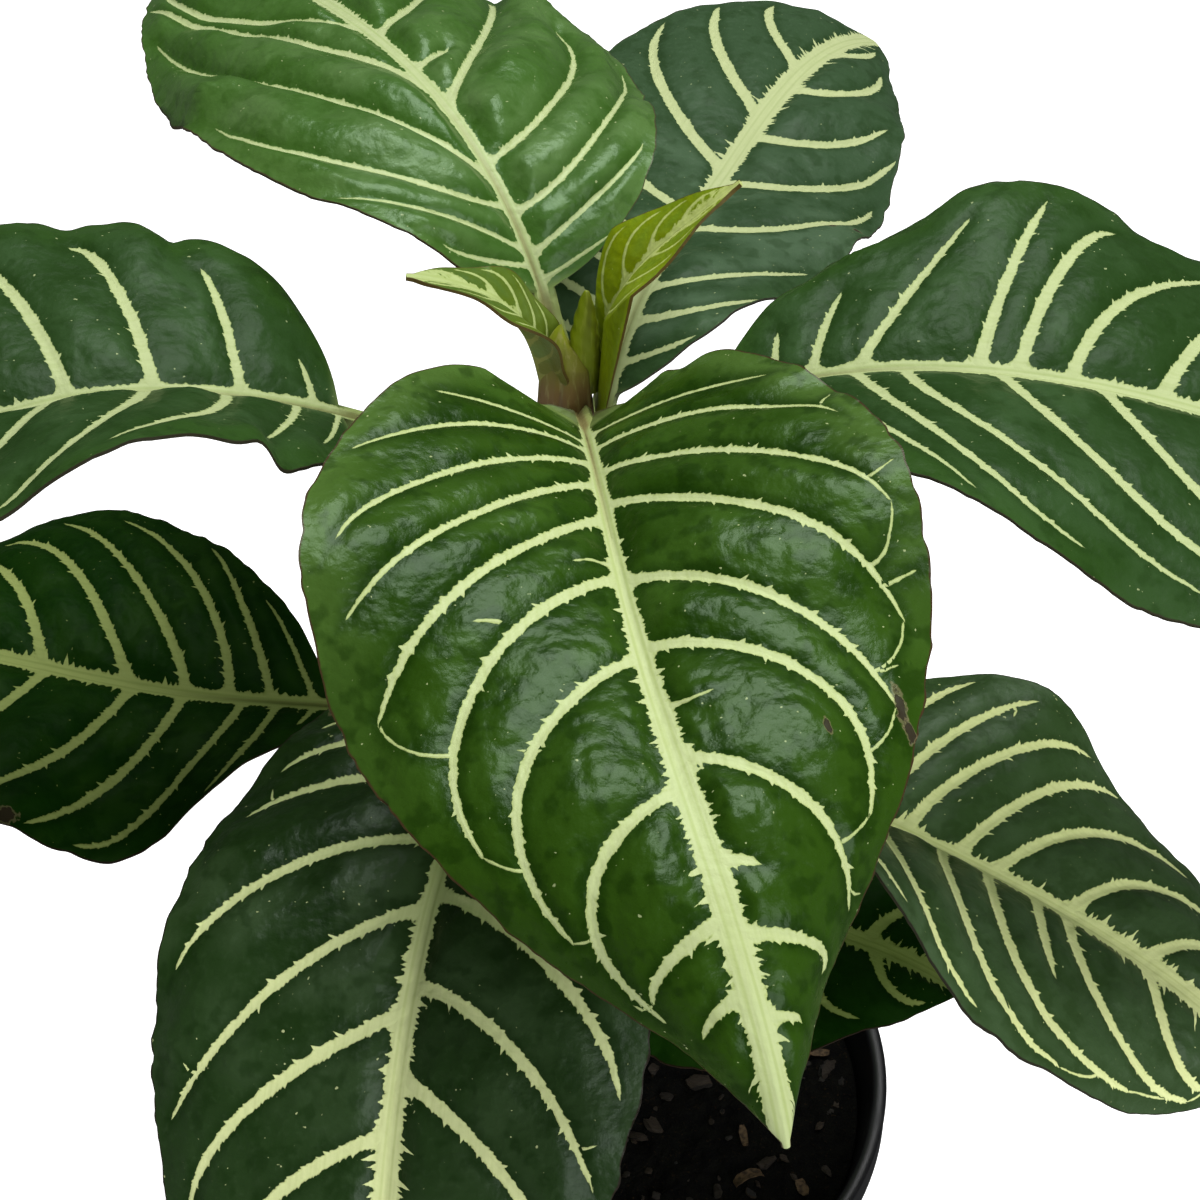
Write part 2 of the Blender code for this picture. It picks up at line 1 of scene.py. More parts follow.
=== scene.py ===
import bmesh
import bpy
import math
import numpy as np
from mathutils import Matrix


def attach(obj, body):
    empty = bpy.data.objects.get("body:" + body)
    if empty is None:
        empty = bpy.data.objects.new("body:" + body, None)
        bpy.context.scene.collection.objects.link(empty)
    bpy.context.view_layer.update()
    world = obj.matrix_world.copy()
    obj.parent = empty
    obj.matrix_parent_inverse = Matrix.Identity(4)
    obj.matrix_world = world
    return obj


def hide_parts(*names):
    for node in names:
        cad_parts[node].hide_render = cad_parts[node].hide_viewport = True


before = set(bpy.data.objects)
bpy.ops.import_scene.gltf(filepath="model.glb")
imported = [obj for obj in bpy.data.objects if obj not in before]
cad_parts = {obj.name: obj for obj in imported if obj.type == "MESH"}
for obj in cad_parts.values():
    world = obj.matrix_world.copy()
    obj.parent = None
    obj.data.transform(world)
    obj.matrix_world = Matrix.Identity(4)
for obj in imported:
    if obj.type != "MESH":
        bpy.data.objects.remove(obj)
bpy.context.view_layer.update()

mm = 0.001
gap = 0.0003         # space kept between pieces that touch on the real plant
stemMiddle = -0.002  # the stem stands a little left of the pot's middle


# A Value is one number or colour in a material, so shader maths reads as plain sums.
class Value:
    def __init__(self, finish, socket):
        self.finish = finish
        self.socket = socket

    def __add__(self, other):
        return self.finish.maths("ADD", self, other)

    def __radd__(self, other):
        return self.finish.maths("ADD", other, self)

    def __sub__(self, other):
        return self.finish.maths("SUBTRACT", self, other)

    def __rsub__(self, other):
        return self.finish.maths("SUBTRACT", other, self)

    def __mul__(self, other):
        return self.finish.maths("MULTIPLY", self, other)

    def __rmul__(self, other):
        return self.finish.maths("MULTIPLY", other, self)

    def __truediv__(self, other):
        return self.finish.maths("DIVIDE", self, other)

    def __rtruediv__(self, other):
        return self.finish.maths("DIVIDE", other, self)

    def __pow__(self, other):
        return self.finish.maths("POWER", self, other)

    def __rpow__(self, other):
        return self.finish.maths("POWER", other, self)

    def __gt__(self, other):
        return self.finish.maths("GREATER_THAN", self, other)

    def __abs__(self):
        return self.finish.maths("ABSOLUTE", self)


# A Finish is one material. Its plain settings go straight onto the shader's sockets.
class Finish:
    def __init__(self, name, **plain):
        self.material = bpy.data.materials.new(name)
        self.material.use_nodes = True
        self.tree = self.material.node_tree
        self.shader = self.tree.nodes["Principled BSDF"]
        for socket, value in plain.items():
            self.shader.inputs[socket.replace("_", " ")].default_value = value

    # any node: its settings first, then what goes into its sockets
    def node(self, kind, settings=None, sockets=None, output=0):
        made = self.tree.nodes.new(kind)
        for key, value in (settings or {}).items():
            setattr(made, key, value)
        for key, value in (sockets or {}).items():
            if isinstance(value, Value):
                self.tree.links.new(value.socket, made.inputs[key])
            else:
                made.inputs[key].default_value = value
        return Value(self, made.outputs[output])

    def maths(self, operation, *terms):
        return self.node("ShaderNodeMath", {"operation": operation}, dict(enumerate(terms)))

    # what changes over the surface goes to the shader's sockets by links
    def wear(self, **changing):
        for socket, value in changing.items():
            self.tree.links.new(value.socket, self.shader.inputs[socket.replace("_", " ")])

    # a value that the mesh carries, or one part of it
    def read(self, name, part=None):
        if part is None:
            return self.node("ShaderNodeAttribute", {"attribute_name": name}, output="Fac")
        whole = self.node("ShaderNodeAttribute", {"attribute_name": name}, output="Vector")
        return self.part(whole, part)

    def part(self, vector, axis):
        return self.node("ShaderNodeSeparateXYZ", None, {0: vector}, axis)

    def place(self):
        return self.node("ShaderNodeTexCoord", output="Object")

    # a place with each way pulled out or squeezed, so that what is drawn there runs in streaks
    def stretched(self, place, factors):
        return self.node("ShaderNodeVectorMath", {"operation": "MULTIPLY"}, {0: place, 1: factors})

    def mix(self, share, first, second):
        colours = {0: share, 6: first, 7: second}  # a colour mix has its colours at sockets 6 and 7
        return self.node("ShaderNodeMix", {"data_type": "RGBA"}, colours, output=2)

    # a soft step from 0 at low to 1 at high
    def ramp(self, value, low, high):
        return self.node(
            "ShaderNodeMapRange", {"interpolation_type": "SMOOTHSTEP"}, {0: value, 1: low, 2: high})

    def vector(self, x, y, z):
        return self.node("ShaderNodeCombineXYZ", None, {0: x, 1: y, 2: z})

    def noise(self, place, size, detail=2.0):
        sockets = {"Vector": place, "Scale": 1 / size, "Detail": detail}
        return self.node("ShaderNodeTexNoise", None, sockets, "Fac")

    # how far each place is from the nearest of many uneven dots
    def cells(self, place, size):
        sockets = {"Vector": place, "Scale": 1 / size}
        return self.node("ShaderNodeTexVoronoi", {"feature": "F1"}, sockets, "Distance")

    # how far a place along a line is from the nearest of many uneven marks, and that mark's own chance
    def marks(self, line, spacing):
        settings = {"voronoi_dimensions": "1D", "feature": "F1"}
        sockets = {"W": line, "Scale": 1 / spacing}
        far = self.node("ShaderNodeTexVoronoi", settings, sockets, "Distance")
        colour = self.node("ShaderNodeTexVoronoi", settings, sockets, "Color")
        chance = self.node("ShaderNodeSeparateColor", None, {0: colour})
        return far * spacing, chance

    def bump(self, height, deep, strength=1.0):
        return self.node(
            "ShaderNodeBump", None, {"Strength": strength, "Distance": deep, "Height": height})


# a colour as a screen shows it, 0 to 255, to the light that a shader takes
def rgb(red, green, blue):
    shown = np.array([red, green, blue]) / 255
    light = np.where(shown <= 0.04045, shown / 12.92, ((shown + 0.055) / 1.055) ** 2.4)
    return (*(float(value) for value in light), 1.0)


def linked(name, data):
    made = bpy.data.objects.new(name, data)
    bpy.context.scene.collection.objects.link(made)
    return made


# a mesh piece that rides on the plant's one body
def addPiece(name, points, faces, finishes, stands, faceFinish=None, smooth=60):
    mesh = bpy.data.meshes.new(name)
    mesh.from_pydata(points, [], faces)
    for finish in finishes:
        mesh.materials.append(finish.material)
    if faceFinish is not None:
        mesh.polygons.foreach_set("material_index", np.asarray(faceFinish, np.int32))
    mesh.shade_smooth()
    mesh.set_sharp_from_angle(angle=math.radians(smooth))
    piece = linked(name, mesh)
    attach(piece, "root")
    if stands:
        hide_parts(stands)
    return piece


# soft random hills between -1 and 1, one unit apart
def hills(x, y, seed, count=64):
    table = np.random.default_rng(seed).uniform(-1, 1, (count, count))
    left, low = np.floor(x).astype(int), np.floor(y).astype(int)
    partX, partY = x - left, y - low
    partX = partX * partX * (3 - 2 * partX)
    partY = partY * partY * (3 - 2 * partY)
    left, right, low, high = left % count, (left + 1) % count, low % count, (low + 1) % count
    near = table[left, low] * (1 - partX) + table[right, low] * partX
    far = table[left, high] * (1 - partX) + table[right, high] * partX
    return near * (1 - partY) + far * partY


# a soft step from 0 to 1 between two values
def rise(value, low, high):
    share = np.clip((value - low) / (high - low), 0, 1)
    return share * share * (3 - 2 * share)


# A leaf's values:
# height on the stem, azimuth (0 front, 90 right), swing: how far it turns away on its course
# rise, roll, fold, camber: degrees, evenly spaced from the stem to the tip
# base, tip: how full the outline is at either end; lopsided: the extra share of its right half
# wave, waves, waveStart: height, number and start of the slow waves of the left and right edge
# rows, columns: how fine its mesh is, along the blade and out from the midrib
# left, right: the side veins, each (start, end, out, lead, hook): where it leaves the midrib and
#   where it ends, as shares of the blade, how far out it ends, how directly it heads for the tip,
#   and how far it turns along the edge; a number alone gives that many usual veins
# twigs: short thin veins, as (share of the blade, share of the half width) from point to point
# joins: thin veins from the end of one side vein to another: (side, from, to, share of the other)
# forks: thin veins that leave a side vein: (side, vein, share of it, mm outward, mm onward)
# scars: dry spots: (share of the blade, share of the half width, size in mm, how stretched)
# ruffle, lobes: height in mm of the edge's uneven waves, all along and near the stalk
# bumps: single rises and dips of an edge: (side, share of the blade, mm, reach)
# swell: how strongly the blade swells between its veins, 1 is usual

leaves = {
    "leaf_top_front": dict(
        height=0.2885, azimuth=4.8, swing=17.9, stalk=0.0158, stalkHalf=0.0021,
        length=0.1375, width=0.0905, base=0.485, tip=1.00, lopsided=-0.02,
        rise=(37.5, 3.7, -5.5, -62), roll=(-3.4, 5, 5), fold=(43, 16, -18.5), camber=(1, 57.5),
        wave=(0.0030, 0.0026), waves=(3.3, 3.0), waveStart=(0.185, 0.285), rows=300, columns=48,
        left=((.06, .09, .8, .9, .3), (.085, .18, .93, .35, .5), (.12, .3, .89, .55, .9),
              (.165, .37, .88, .8, .35), (.23, .46, .88, .85, .8), (.33, .63, .84, .42, .95),
              (.45, .74, .8, .38, 1), (.63, .85, .78, .2, 1.1), (.77, .83, .72, .6, .9),
              (.84, .875, .55, .6, .5)),
        right=((.03, .115, .86, .95, .9), (.08, .21, .9, .5, .95), (.14, .35, .91, .44, .86),
               (.205, .465, .9, .54, .8), (.335, .57, .88, .46, .5), (.44, .69, .84, .23, .93),
               (.59, .78, .87, .5, .5), (.715, .727, .22, .4, .7), (.79, .845, .78, .35, 1.1),
               (.87, .885, .5, .55, .9)),
        twigs=(((.309, -.02), (.314, -.08), (.32, -.15)), ((.526, .03), (.532, .11), (.53, .19)),
               ((.398, -.42), (.397, -.5)), ((.549, -.44), (.543, -.5))),
        joins=(("left", 4, 5, .68), ("left", 5, 6, .72), ("left", 6, 7, .62), ("left", 8, 7, .93),
               ("right", 2, 3, .82),
               ("right", 3, 4, .84), ("right", 4, 5, .78), ("right", 5, 6, .72)),
        forks=(("right", 1, .86, 2.2, -2.3), ("right", 2, .84, 4.3, -1.9), ("right", 3, .84, 5, -1.6),
               ("right", 4, .86, 4, -.8), ("left", 7, .93, 2, -1), ("right", 6, .9, 2.5, .5)),
        scars=((.572, .90, .8, 3.5), (.604, .965, .7, 2.5), (.599, .60, .45, 2.4)),
        ruffle=0.8, lobes=2.6,
        bumps=(("left", 0, 1.9, .0025), ("left", .007, -1.3, .003), ("left", .0145, -1.6, .0055),
               ("left", .031, 1.65, .023), ("right", 0, 1.9, .0025), ("right", .0095, -1.9, .0035),
               ("right", .016, 1.5, .006), ("right", .040, 3.3, .020), ("right", .058, .6, .012),
               ("right", .105, -.8, .020)),
    ),
    "leaf_top_back": dict(
        height=0.2895, azimuth=-151.6, swing=6.2, stalk=0.0160, stalkHalf=0.0021,
        length=0.1450, width=0.0835, base=0.59, tip=0.785, lopsided=-0.05,
        rise=(70.5, 7, -13, -21), roll=(10, 4.5, 0), fold=(32, -3, 14), camber=(13, 30.5),
        wave=(0.0027, 0.0014), waves=(2.6, 2.8), waveStart=(0.08, 0.095), rows=230, columns=38,
        left=((.01, .035, .95, .33, .5), (.04, .125, .91, .46, .95), (.095, .31, .95, .02, .92),
              (.165, .42, .8, .12, .96), (.265, .645, .94, .75, .37), (.355, .38, .2, .5, .5),
              (.455, .8, .9, .5, .7), (.64, .9, .8, .5, .8), (.8, .94, .6, .5, .8)),
        right=((.03, .07, .87, .27, 1), (.045, .16, .95, .6, .36), (.105, .38, .92, 0, .98),
               (.14, .7, .9, .37, .27), (.3, .8, .93, 1.2, .83), (.48, .87, .85, .6, .8),
               (.68, .93, .7, .5, .8)),
        ruffle=0.6, swell=2.9,
        bumps=(("right", .185, -1.2, .045), ("right", .08, 2.0, .03)),
    ),
    "leaf_upper_left": dict(
        height=0.2690, azimuth=-76.6, swing=6.8, stalk=0.0430, stalkHalf=0.0021,
        length=0.1480, width=0.0905, base=0.485, tip=0.81, lopsided=0.0,
        rise=(41.5, 18.2, -31.7, -32), roll=(-5.7, 10.4, 0.5), fold=(20.5, 23.3, 6),
        camber=(10.5, 24.5),
        wave=(0.0026, 0.0055), waves=(2.9, 3.1), waveStart=(0.06, 0.58), rows=230, columns=38,
        left=((.03, .045, .4, .5, .5), (.115, .14, .75, .55, .85), (.21, .268, .83, .3, 1),
              (.3, .37, .78, .4, .85), (.41, .53, .85, .4, .85), (.54, .68, .82, .4, .85),
              (.68, .81, .75, .4, .8), (.82, .9, .55, .5, .8)),
        right=((.0, .06, .78, .28, .9), (.055, .13, .75, .22, .45), (.135, .275, .9, .17, .9),
               (.22, .37, .95, .2, .9), (.32, .48, .9, .27, .9), (.44, .6, .88, .3, .8),
               (.57, .72, .85, .4, .8), (.7, .83, .75, .4, .8), (.83, .91, .5, .5, .8)),
        ruffle=3.4,
        bumps=(("left", .335, 2.2, .025), ("left", .27, -2.5, .025), ("left", .205, 1.4, .025),
               ("left", .16, -.8, .010), ("left", .115, 1.8, .035), ("left", .06, 1.0, .03),
               ("right", .155, 3.2, .022), ("right", .22, 1.5, .045), ("right", .285, 2.2, .04)),
    ),
    "leaf_upper_right": dict(
        height=0.2700, azimuth=82.6, swing=-4.0, stalk=0.0285, stalkHalf=0.0021,
        length=0.1565, width=0.0925, base=0.635, tip=0.75, lopsided=-0.03,
        rise=(58.8, 7.1, -17.6, -34.5), roll=(-6.3, 0.8, 4.2), fold=(26.3, 15, 0.6), camber=(8.4, 34.5),
        wave=(0.0033, 0.0036), waves=(2.4, 2.9), waveStart=(-0.335, 0.34), rows=230, columns=38,
        left=((.05, .13, .8, .3, .5), (.1, .28, .93, .15, .26), (.15, .385, .91, .3, 1),
              (.205, .51, .88, .05, .66), (.3, .6, .85, .3, .8), (.405, .69, .85, .35, .8),
              (.53, .79, .82, .35, .8), (.67, .87, .75, .4, .8), (.81, .93, .5, .5, .8)),
        right=((.067, .07, .5, .5, .9), (.107, .135, .6, .58, .33), (.155, .26, .8, .75, .42),
               (.28, .335, .87, .54, .32), (.32, .41, .83, .38, .92), (.375, .53, .8, .2, .5),
               (.47, .63, .8, .35, .8), (.6, .77, .8, .4, .8), (.74, .87, .7, .4, .8)),
    ),
    "leaf_middle_back": dict(
        height=0.2500, azimuth=165.5, swing=-18.5, stalk=0.0290, stalkHalf=0.0021,
        length=0.1560, width=0.0780, base=0.66, tip=0.80, lopsided=0.17,
        rise=(77, -6.4, 1, -30), roll=(-3, 2, 18), fold=(33, 2.3, 8), camber=(8.5, 23),
        wave=(0.0031, 0.0031), waves=(3.1, 3.1), waveStart=(0.025, 0.57), rows=210, columns=34,
        left=((.04, .075, .9, .3, .9), (.1, .15, .97, .34, .92), (.16, .28, .88, .22, .4),
              (.32, .53, .91, .04, .97), (.45, .64, .96, .12, .57), (.565, .69, .84, .08, .4),
              (.69, .86, .72, .05, .94), (.82, .93, .5, .4, .8)),
        right=((.05, .1, .85, .3, .8), (.1, .2, .9, .3, .8), (.16, .33, .9, .4, .8),
               (.25, .46, .9, .5, .8), (.35, .6, .9, .6, .8), (.475, .74, .92, .8, .77),
               (.605, .81, .88, 1, .66), (.74, .87, .78, .94, .84)),
        scars=((.41, -.80, .7, 1.6), (.435, -.92, .8, 1.3)),
    ),
    "leaf_middle_front": dict(
        height=0.2360, azimuth=-16.8, swing=16.8, stalk=0.0280, stalkHalf=0.0021,
        length=0.1565, width=0.0792, base=0.61, tip=0.73, lopsided=-0.05,
        rise=(33.5, 7.7, -41.7, -43.5), roll=(3, 11.5, 0.6), fold=(21.5, 14, 5), camber=(15.5, 31),
        wave=(0.0012, 0.0029), waves=(2.9, 2.9), waveStart=(-0.02, 0.29), rows=230, columns=38,
        left=((.05, .09, .85, .3, .9), (.1, .17, .88, .25, .9), (.155, .23, .88, .25, .9),
              (.22, .29, .88, .23, .9), (.3, .465, .91, .12, .83), (.375, .61, .91, .46, .2),
              (.48, .69, .87, .65, .9), (.595, .79, .85, .5, .8), (.72, .87, .75, .5, .8),
              (.84, .93, .5, .5, .8)),
        right=((.05, .1, .85, .3, .8), (.1, .19, .9, .3, .8), (.17, .3, .9, .3, .8),
               (.26, .42, .9, .3, .8), (.36, .535, .92, .36, .9), (.455, .62, .9, .17, .44),
               (.54, .72, .87, .5, .8), (.66, .81, .8, .45, .8), (.78, .89, .65, .5, .8)),
        forks=(("right", 5, .86, 3, -.5), ("left", 3, .8, 1.2, -2.2), ("left", 5, .88, 2, -1)),
        scars=((.135, -.965, .9, 1.8),),
    ),
    "leaf_lower_left": dict(
        height=0.2085, azimuth=-95.0, swing=-6.3, stalk=0.0430, stalkHalf=0.0019,
        length=0.1150, width=0.0852, base=0.77, tip=0.84, lopsided=-0.015,
        rise=(4.7, -1.2, 8.4, -32), roll=(1, -5.4, 14), fold=(18, 13, 4), camber=(10.5, 30),
        wave=(0.0010, 0.0068), waves=(2.8, 2.7), waveStart=(-0.08, 1.0), rows=200, columns=36,
        left=((.03, .145, .86, .05, .9), (.1, .27, .95, .3, .8), (.175, .445, .92, .03, .93),
              (.245, .555, .92, .3, .3), (.34, .65, .85, .6, .9), (.49, .76, .85, .5, .8),
              (.64, .85, .8, .5, .8), (.8, .92, .6, .5, .8)),
        right=((.025, .045, .58, .42, .95), (.09, .16, .95, .06, .9), (.15, .345, .96, 0, .9),
               (.25, .415, .95, .01, .3), (.335, .55, .9, .3, .9), (.48, .7, .88, .4, .8),
               (.63, .82, .8, .4, .8), (.78, .91, .6, .5, .8)),
        scars=((.445, .955, 1.5, 1.1),),
    ),
    "leaf_lower_right": dict(
        height=0.2075, azimuth=63.3, swing=-3.0, stalk=0.0185, stalkHalf=0.0019,
        length=0.1243, width=0.0851, base=0.655, tip=0.80, lopsided=-0.025,
        rise=(21, -3.2, -13.3, -38), roll=(-7.8, -16.7, 4.5), fold=(26, 25.5, -10), camber=(-5.6, 38),
        wave=(-0.0033, 0.0044), waves=(2.5, 2.4), waveStart=(-0.13, 0.185), rows=210, columns=36,
        left=((.05, .13, .85, .3, .8), (.12, .26, .9, .2, .9), (.21, .42, .92, .1, .9),
              (.32, .555, .94, .02, 1), (.415, .69, .95, .03, .88), (.485, .8, .86, .1, 1.05),
              (.56, .63, .5, .55, .5), (.61, .9, .87, .17, .5), (.74, .92, .75, .6, .8),
              (.86, .95, .5, .5, .8)),
        right=((.05, .1, .85, .3, .8), (.1, .17, .9, .3, .8), (.17, .26, .9, .2, .9),
               (.24, .335, .93, .18, .94), (.295, .43, .9, .27, .8), (.355, .535, .92, .13, .3),
               (.435, .6, .94, .42, .2), (.49, .745, .88, .48, .9), (.61, .84, .82, .3, .6),
               (.735, .89, .75, .5, .5), (.86, .94, .5, .5, .8)),
        joins=(("left", 4, 5, .86), ("left", 5, 7, .93), ("left", 7, 8, .93)),
        forks=(("left", 4, .8, -1.5, -1.5), ("right", 4, .86, -2.5, 1)),
    ),
    "leaf_bottom_back": dict(
        height=0.1870, azimuth=172.0, swing=6.0, stalk=0.0160, stalkHalf=0.0017,
        length=0.0980, width=0.0640, base=0.60, tip=0.80, lopsided=0.03,
        rise=(30, 4, -18, -34), roll=(2, -4, 3), fold=(24, 14, 4), camber=(8, 28),
        wave=(0.0024, 0.0028), waves=(2.6, 2.8), waveStart=(0.15, 0.50), rows=140, columns=24,
        left=8, right=8,
    ),
    "leaf_bottom_front": dict(
        height=0.1870, azimuth=-14.0, swing=-8.0, stalk=0.0120, stalkHalf=0.0017,
        length=0.0640, width=0.0400, base=0.60, tip=0.85, lopsided=0.0,
        rise=(24, 0, -20, -36), roll=(0, 3, 0), fold=(26, 14, 4), camber=(8, 28),
        wave=(0.0016, 0.0018), waves=(2.5, 2.3), waveStart=(0.10, 0.40), rows=110, columns=18,
        left=7, right=7,
    ),
    "leaf_bottom_right": dict(
        height=0.1670, azimuth=67.0, swing=0.5, stalk=0.0090, stalkHalf=0.0017,
        length=0.0680, width=0.0775, base=0.45, tip=0.92, lopsided=0.0,
        rise=(18, 4, -1, -26), roll=(2, 4, -9), fold=(18, 7, 12), camber=(13, 25),
        wave=(0.0017, 0.0030), waves=(3.0, 3.0), waveStart=(0.0, 0.40), rows=120, columns=28,
        left=((.08, .18, .85, .3, .9), (.18, .38, .9, .3, .8), (.33, .58, .88, .3, .8),
              (.515, .75, .82, .5, .6), (.72, .9, .76, .5, .9)),
        right=7,
    ),
    "leaf_bottom_left": dict(
        height=0.1670, azimuth=-106.0, swing=4.0, stalk=0.0120, stalkHalf=0.0017,
        length=0.0595, width=0.0500, base=0.55, tip=0.85, lopsided=0.02,
        rise=(16, 2, -8, -26), roll=(0, -4, 4), fold=(20, 12, 6), camber=(10, 26),
        wave=(0.0018, 0.0022), waves=(2.6, 2.4), waveStart=(0.20, 0.55), rows=110, columns=20,
        left=7, right=7,
    ),
    "young_leaf_left": dict(
        height=0.2885, azimuth=-82.0, swing=-3.3, stalk=0.0035, stalkHalf=0.0010,
        length=0.0365, width=0.0152, base=0.575, tip=1.00, lopsided=0.04,
        rise=(88, 71.5, 32.5, 10), roll=(2, 2, 1), fold=(51.5, 26, 23.5), camber=(3.5, 17),
        wave=(0.0008, 0.0008), waves=(2.6, 2.7), waveStart=(-0.21, 0.25), rows=130, columns=20,
        left=8, right=8,
    ),
    "young_leaf_right": dict(
        height=0.2870, azimuth=96.5, swing=-1.7, stalk=0.0015, stalkHalf=0.0010,
        length=0.0505, width=0.0206, base=0.54, tip=1.00, lopsided=-0.01,
        rise=(104, 74.6, 46, 42), roll=(1, 6.5, -2), fold=(39, 23, 20), camber=(5, 14),
        wave=(0.0009, 0.0007), waves=(2.8, 3.1), waveStart=(-0.22, 0.52), rows=150, columns=22,
        left=9, right=9,
    ),
}

blade = dict(
    thickness=0.5 * mm, ribDeep=2.4 * mm, ribHalf=2.6 * mm, ribThinning=0.85,
    fullStalk=2.1 * mm, tipHalf=0.6 * mm, stalkStart=4.5 * mm, waveEarly=0.7,
    rowReach=0.8, rowBend=1.7, curveSteps=240, stalkRow=1.2 * mm, seatRows=4,
    sideRib=0.5 * mm, groove=0.35 * mm,
    # the finer forms: how high each is, and its size in mm on the blade laid out flat
    pucker=0.17 * mm, puckerUneven=0.35, puckerSize=11, wrinkle=0.42 * mm, wrinkleSize=7,
    ripple=0.34 * mm, rippleSize=3.6, crinkle=0.09 * mm, crinkleSize=1.9,
    raggedEdge=0.35 * mm, raggedSize=5, ruffle=0.8, ruffleSize=10, lobeSize=5.5,
    biteSize=3.1, nickSize=1.3, usualWidth=0.08,
    # side veins: points in each, the least distance of the first from the midrib, and the half
    # widths in mm of a joining, a forking and a single thin one from its start to its end
    veinPoints=16, veinRoot=0.002, joinWide=(0.14, 0.28), forkWide=(0.3, 0.22, 0.12),
    twigWide=(0.36, 0.16),
    # in mm: how near a vein must be to count, how far off the second one is where none is near,
    # what a face with no vein near reads, and the step between the runs of one vein and the next
    veinReach=9, veinFarthest=14, noVein=50, chainRun=100,
)

stem = dict(
    foot=0.052, top=0.2905, footRadius=0.0050, neckRadius=0.0034, topRadius=0.0026, neck=0.280,
    joints=(0.122, 0.166, 0.187, 0.208, 0.241, 0.269), swelling=0.0005, reach=0.005, inSoil=0.090,
    scarUp=1.6 * mm, scarHigh=0.7 * mm, scarDeep=0.045, sides=40,
    old=rgb(92, 74, 52), young=rgb(88, 84, 48), neckColour=rgb(96, 70, 56), crack=rgb(60, 50, 34),
    spot=rgb(160, 146, 108),
)


def stemRadius(height):
    foot, neck, top = stem["footRadius"], stem["neckRadius"], stem["topRadius"]
    thick = np.interp(height, (stem["foot"], stem["neck"]), (foot, neck))
    narrowing = np.interp(height, (stem["neck"], stem["top"]), (0, neck - top))
    swollen = sum(np.exp(-(((height - joint) / stem["reach"]) ** 2)) for joint in stem["joints"])
    return thick - narrowing + stem["swelling"] * np.minimum(swollen, 1) * (height > stem["inSoil"])


# a smooth curve through evenly spaced values, read at a share from 0 to 1
def smoothBetween(values, along):
    count = len(values) - 1
    place = np.clip(along, 0, 1) * count
    before = np.minimum(place.astype(int), count - 1)
    part = place - before
    padded = np.array([2 * values[0] - values[1], *values, 2 * values[-1] - values[-2]], float)
    a, b, c, d = (padded[before + step] for step in range(4))
    cubic = 2 * b + (c - a) * part
    cubic = cubic + (2 * a - 5 * b + 4 * c - d) * part**2 + (3 * b - a - 3 * c + d) * part**3
    return 0.5 * cubic


# the midrib from the stem to the tip, with the directions along it
def leafCurve(leaf):
    along = np.linspace(0, 1, blade["curveSteps"] + 1)
    total = leaf["stalk"] + leaf["length"]
    climb = np.radians(smoothBetween(leaf["rise"], along))
    turn = np.radians(leaf["azimuth"] + leaf["swing"] * along**1.5)
    heading = np.stack([np.cos(climb) * np.sin(turn), -np.cos(climb) * np.cos(turn), np.sin(climb)], 1)
    start = [stemMiddle + blade["stalkStart"] * math.sin(turn[0]),
             -blade["stalkStart"] * math.cos(turn[0]), leaf["height"]]
    steps = (heading[1:] + heading[:-1]) / 2 * total / blade["curveSteps"]
    midrib = np.array(start) + np.concatenate([np.zeros((1, 3)), np.cumsum(steps, axis=0)])
    level = np.stack([np.cos(turn), np.sin(turn), np.zeros_like(turn)], 1)
    above = np.cross(heading, level)
    roll = np.radians(smoothBetween(leaf["roll"], along))[:, None]
    side = level * np.cos(roll) + above * np.sin(roll)
    up = above * np.cos(roll) - level * np.sin(roll)
    return dict(along=along, total=total, midrib=midrib, side=side, up=up, climb=climb)


# how far the midrib stands out below the stalk
def ribDepth(leaf):
    return blade["ribDeep"] * leaf["stalkHalf"] / blade["fullStalk"]


# the first share of the curve whose stalk lies just outside the stem
def clearOfStem(leaf, curve):
    midrib = curve["midrib"]
    out = np.hypot(midrib[:, 0] - stemMiddle, midrib[:, 1])
    lean = ribDepth(leaf) * np.sin(np.clip(curve["climb"], 0, math.pi / 2))
    needed = stemRadius(np.minimum(midrib[:, 2], stem["top"])) + 3 * gap + lean
    return float(curve["along"][np.argmax(out >= needed)])


# the upright slice of the stalk that faces the stem
def seatOnStem(leaf, curve):
    turn = math.radians(leaf["azimuth"])
    outward = np.array([math.sin(turn), -math.cos(turn), 0])
    span = leaf["height"] - np.array([0, 0.5, 1]) * ribDepth(leaf)
    middle = np.array([stemMiddle, 0, leaf["height"]]) + outward * (stemRadius(span).max() + gap)
    level = curve["side"][0] * (1, 1, 0)
    seat = dict(curve)
    parts = {"midrib": middle, "side": level / np.linalg.norm(level), "up": np.array([0, 0, 1.0])}
    for key, value in parts.items():
        seat[key] = np.repeat(value[None], len(curve["along"]), axis=0)
    return seat


# half the leaf's width at a share of the blade, never thinner than the stalk or the tip
def halfWidth(leaf, place):
    inside = np.clip(place, 0, 1)
    widest = leaf["base"] / (leaf["base"] + leaf["tip"])
    peak = widest ** leaf["base"] * (1 - widest) ** leaf["tip"]
    wide = leaf["width"] / 2 * inside ** leaf["base"] * (1 - inside) ** leaf["tip"] / peak
    least = blade["tipHalf"] + (leaf["stalkHalf"] - blade["tipHalf"]) * np.sqrt(1 - inside)
    return np.maximum(wide, least)


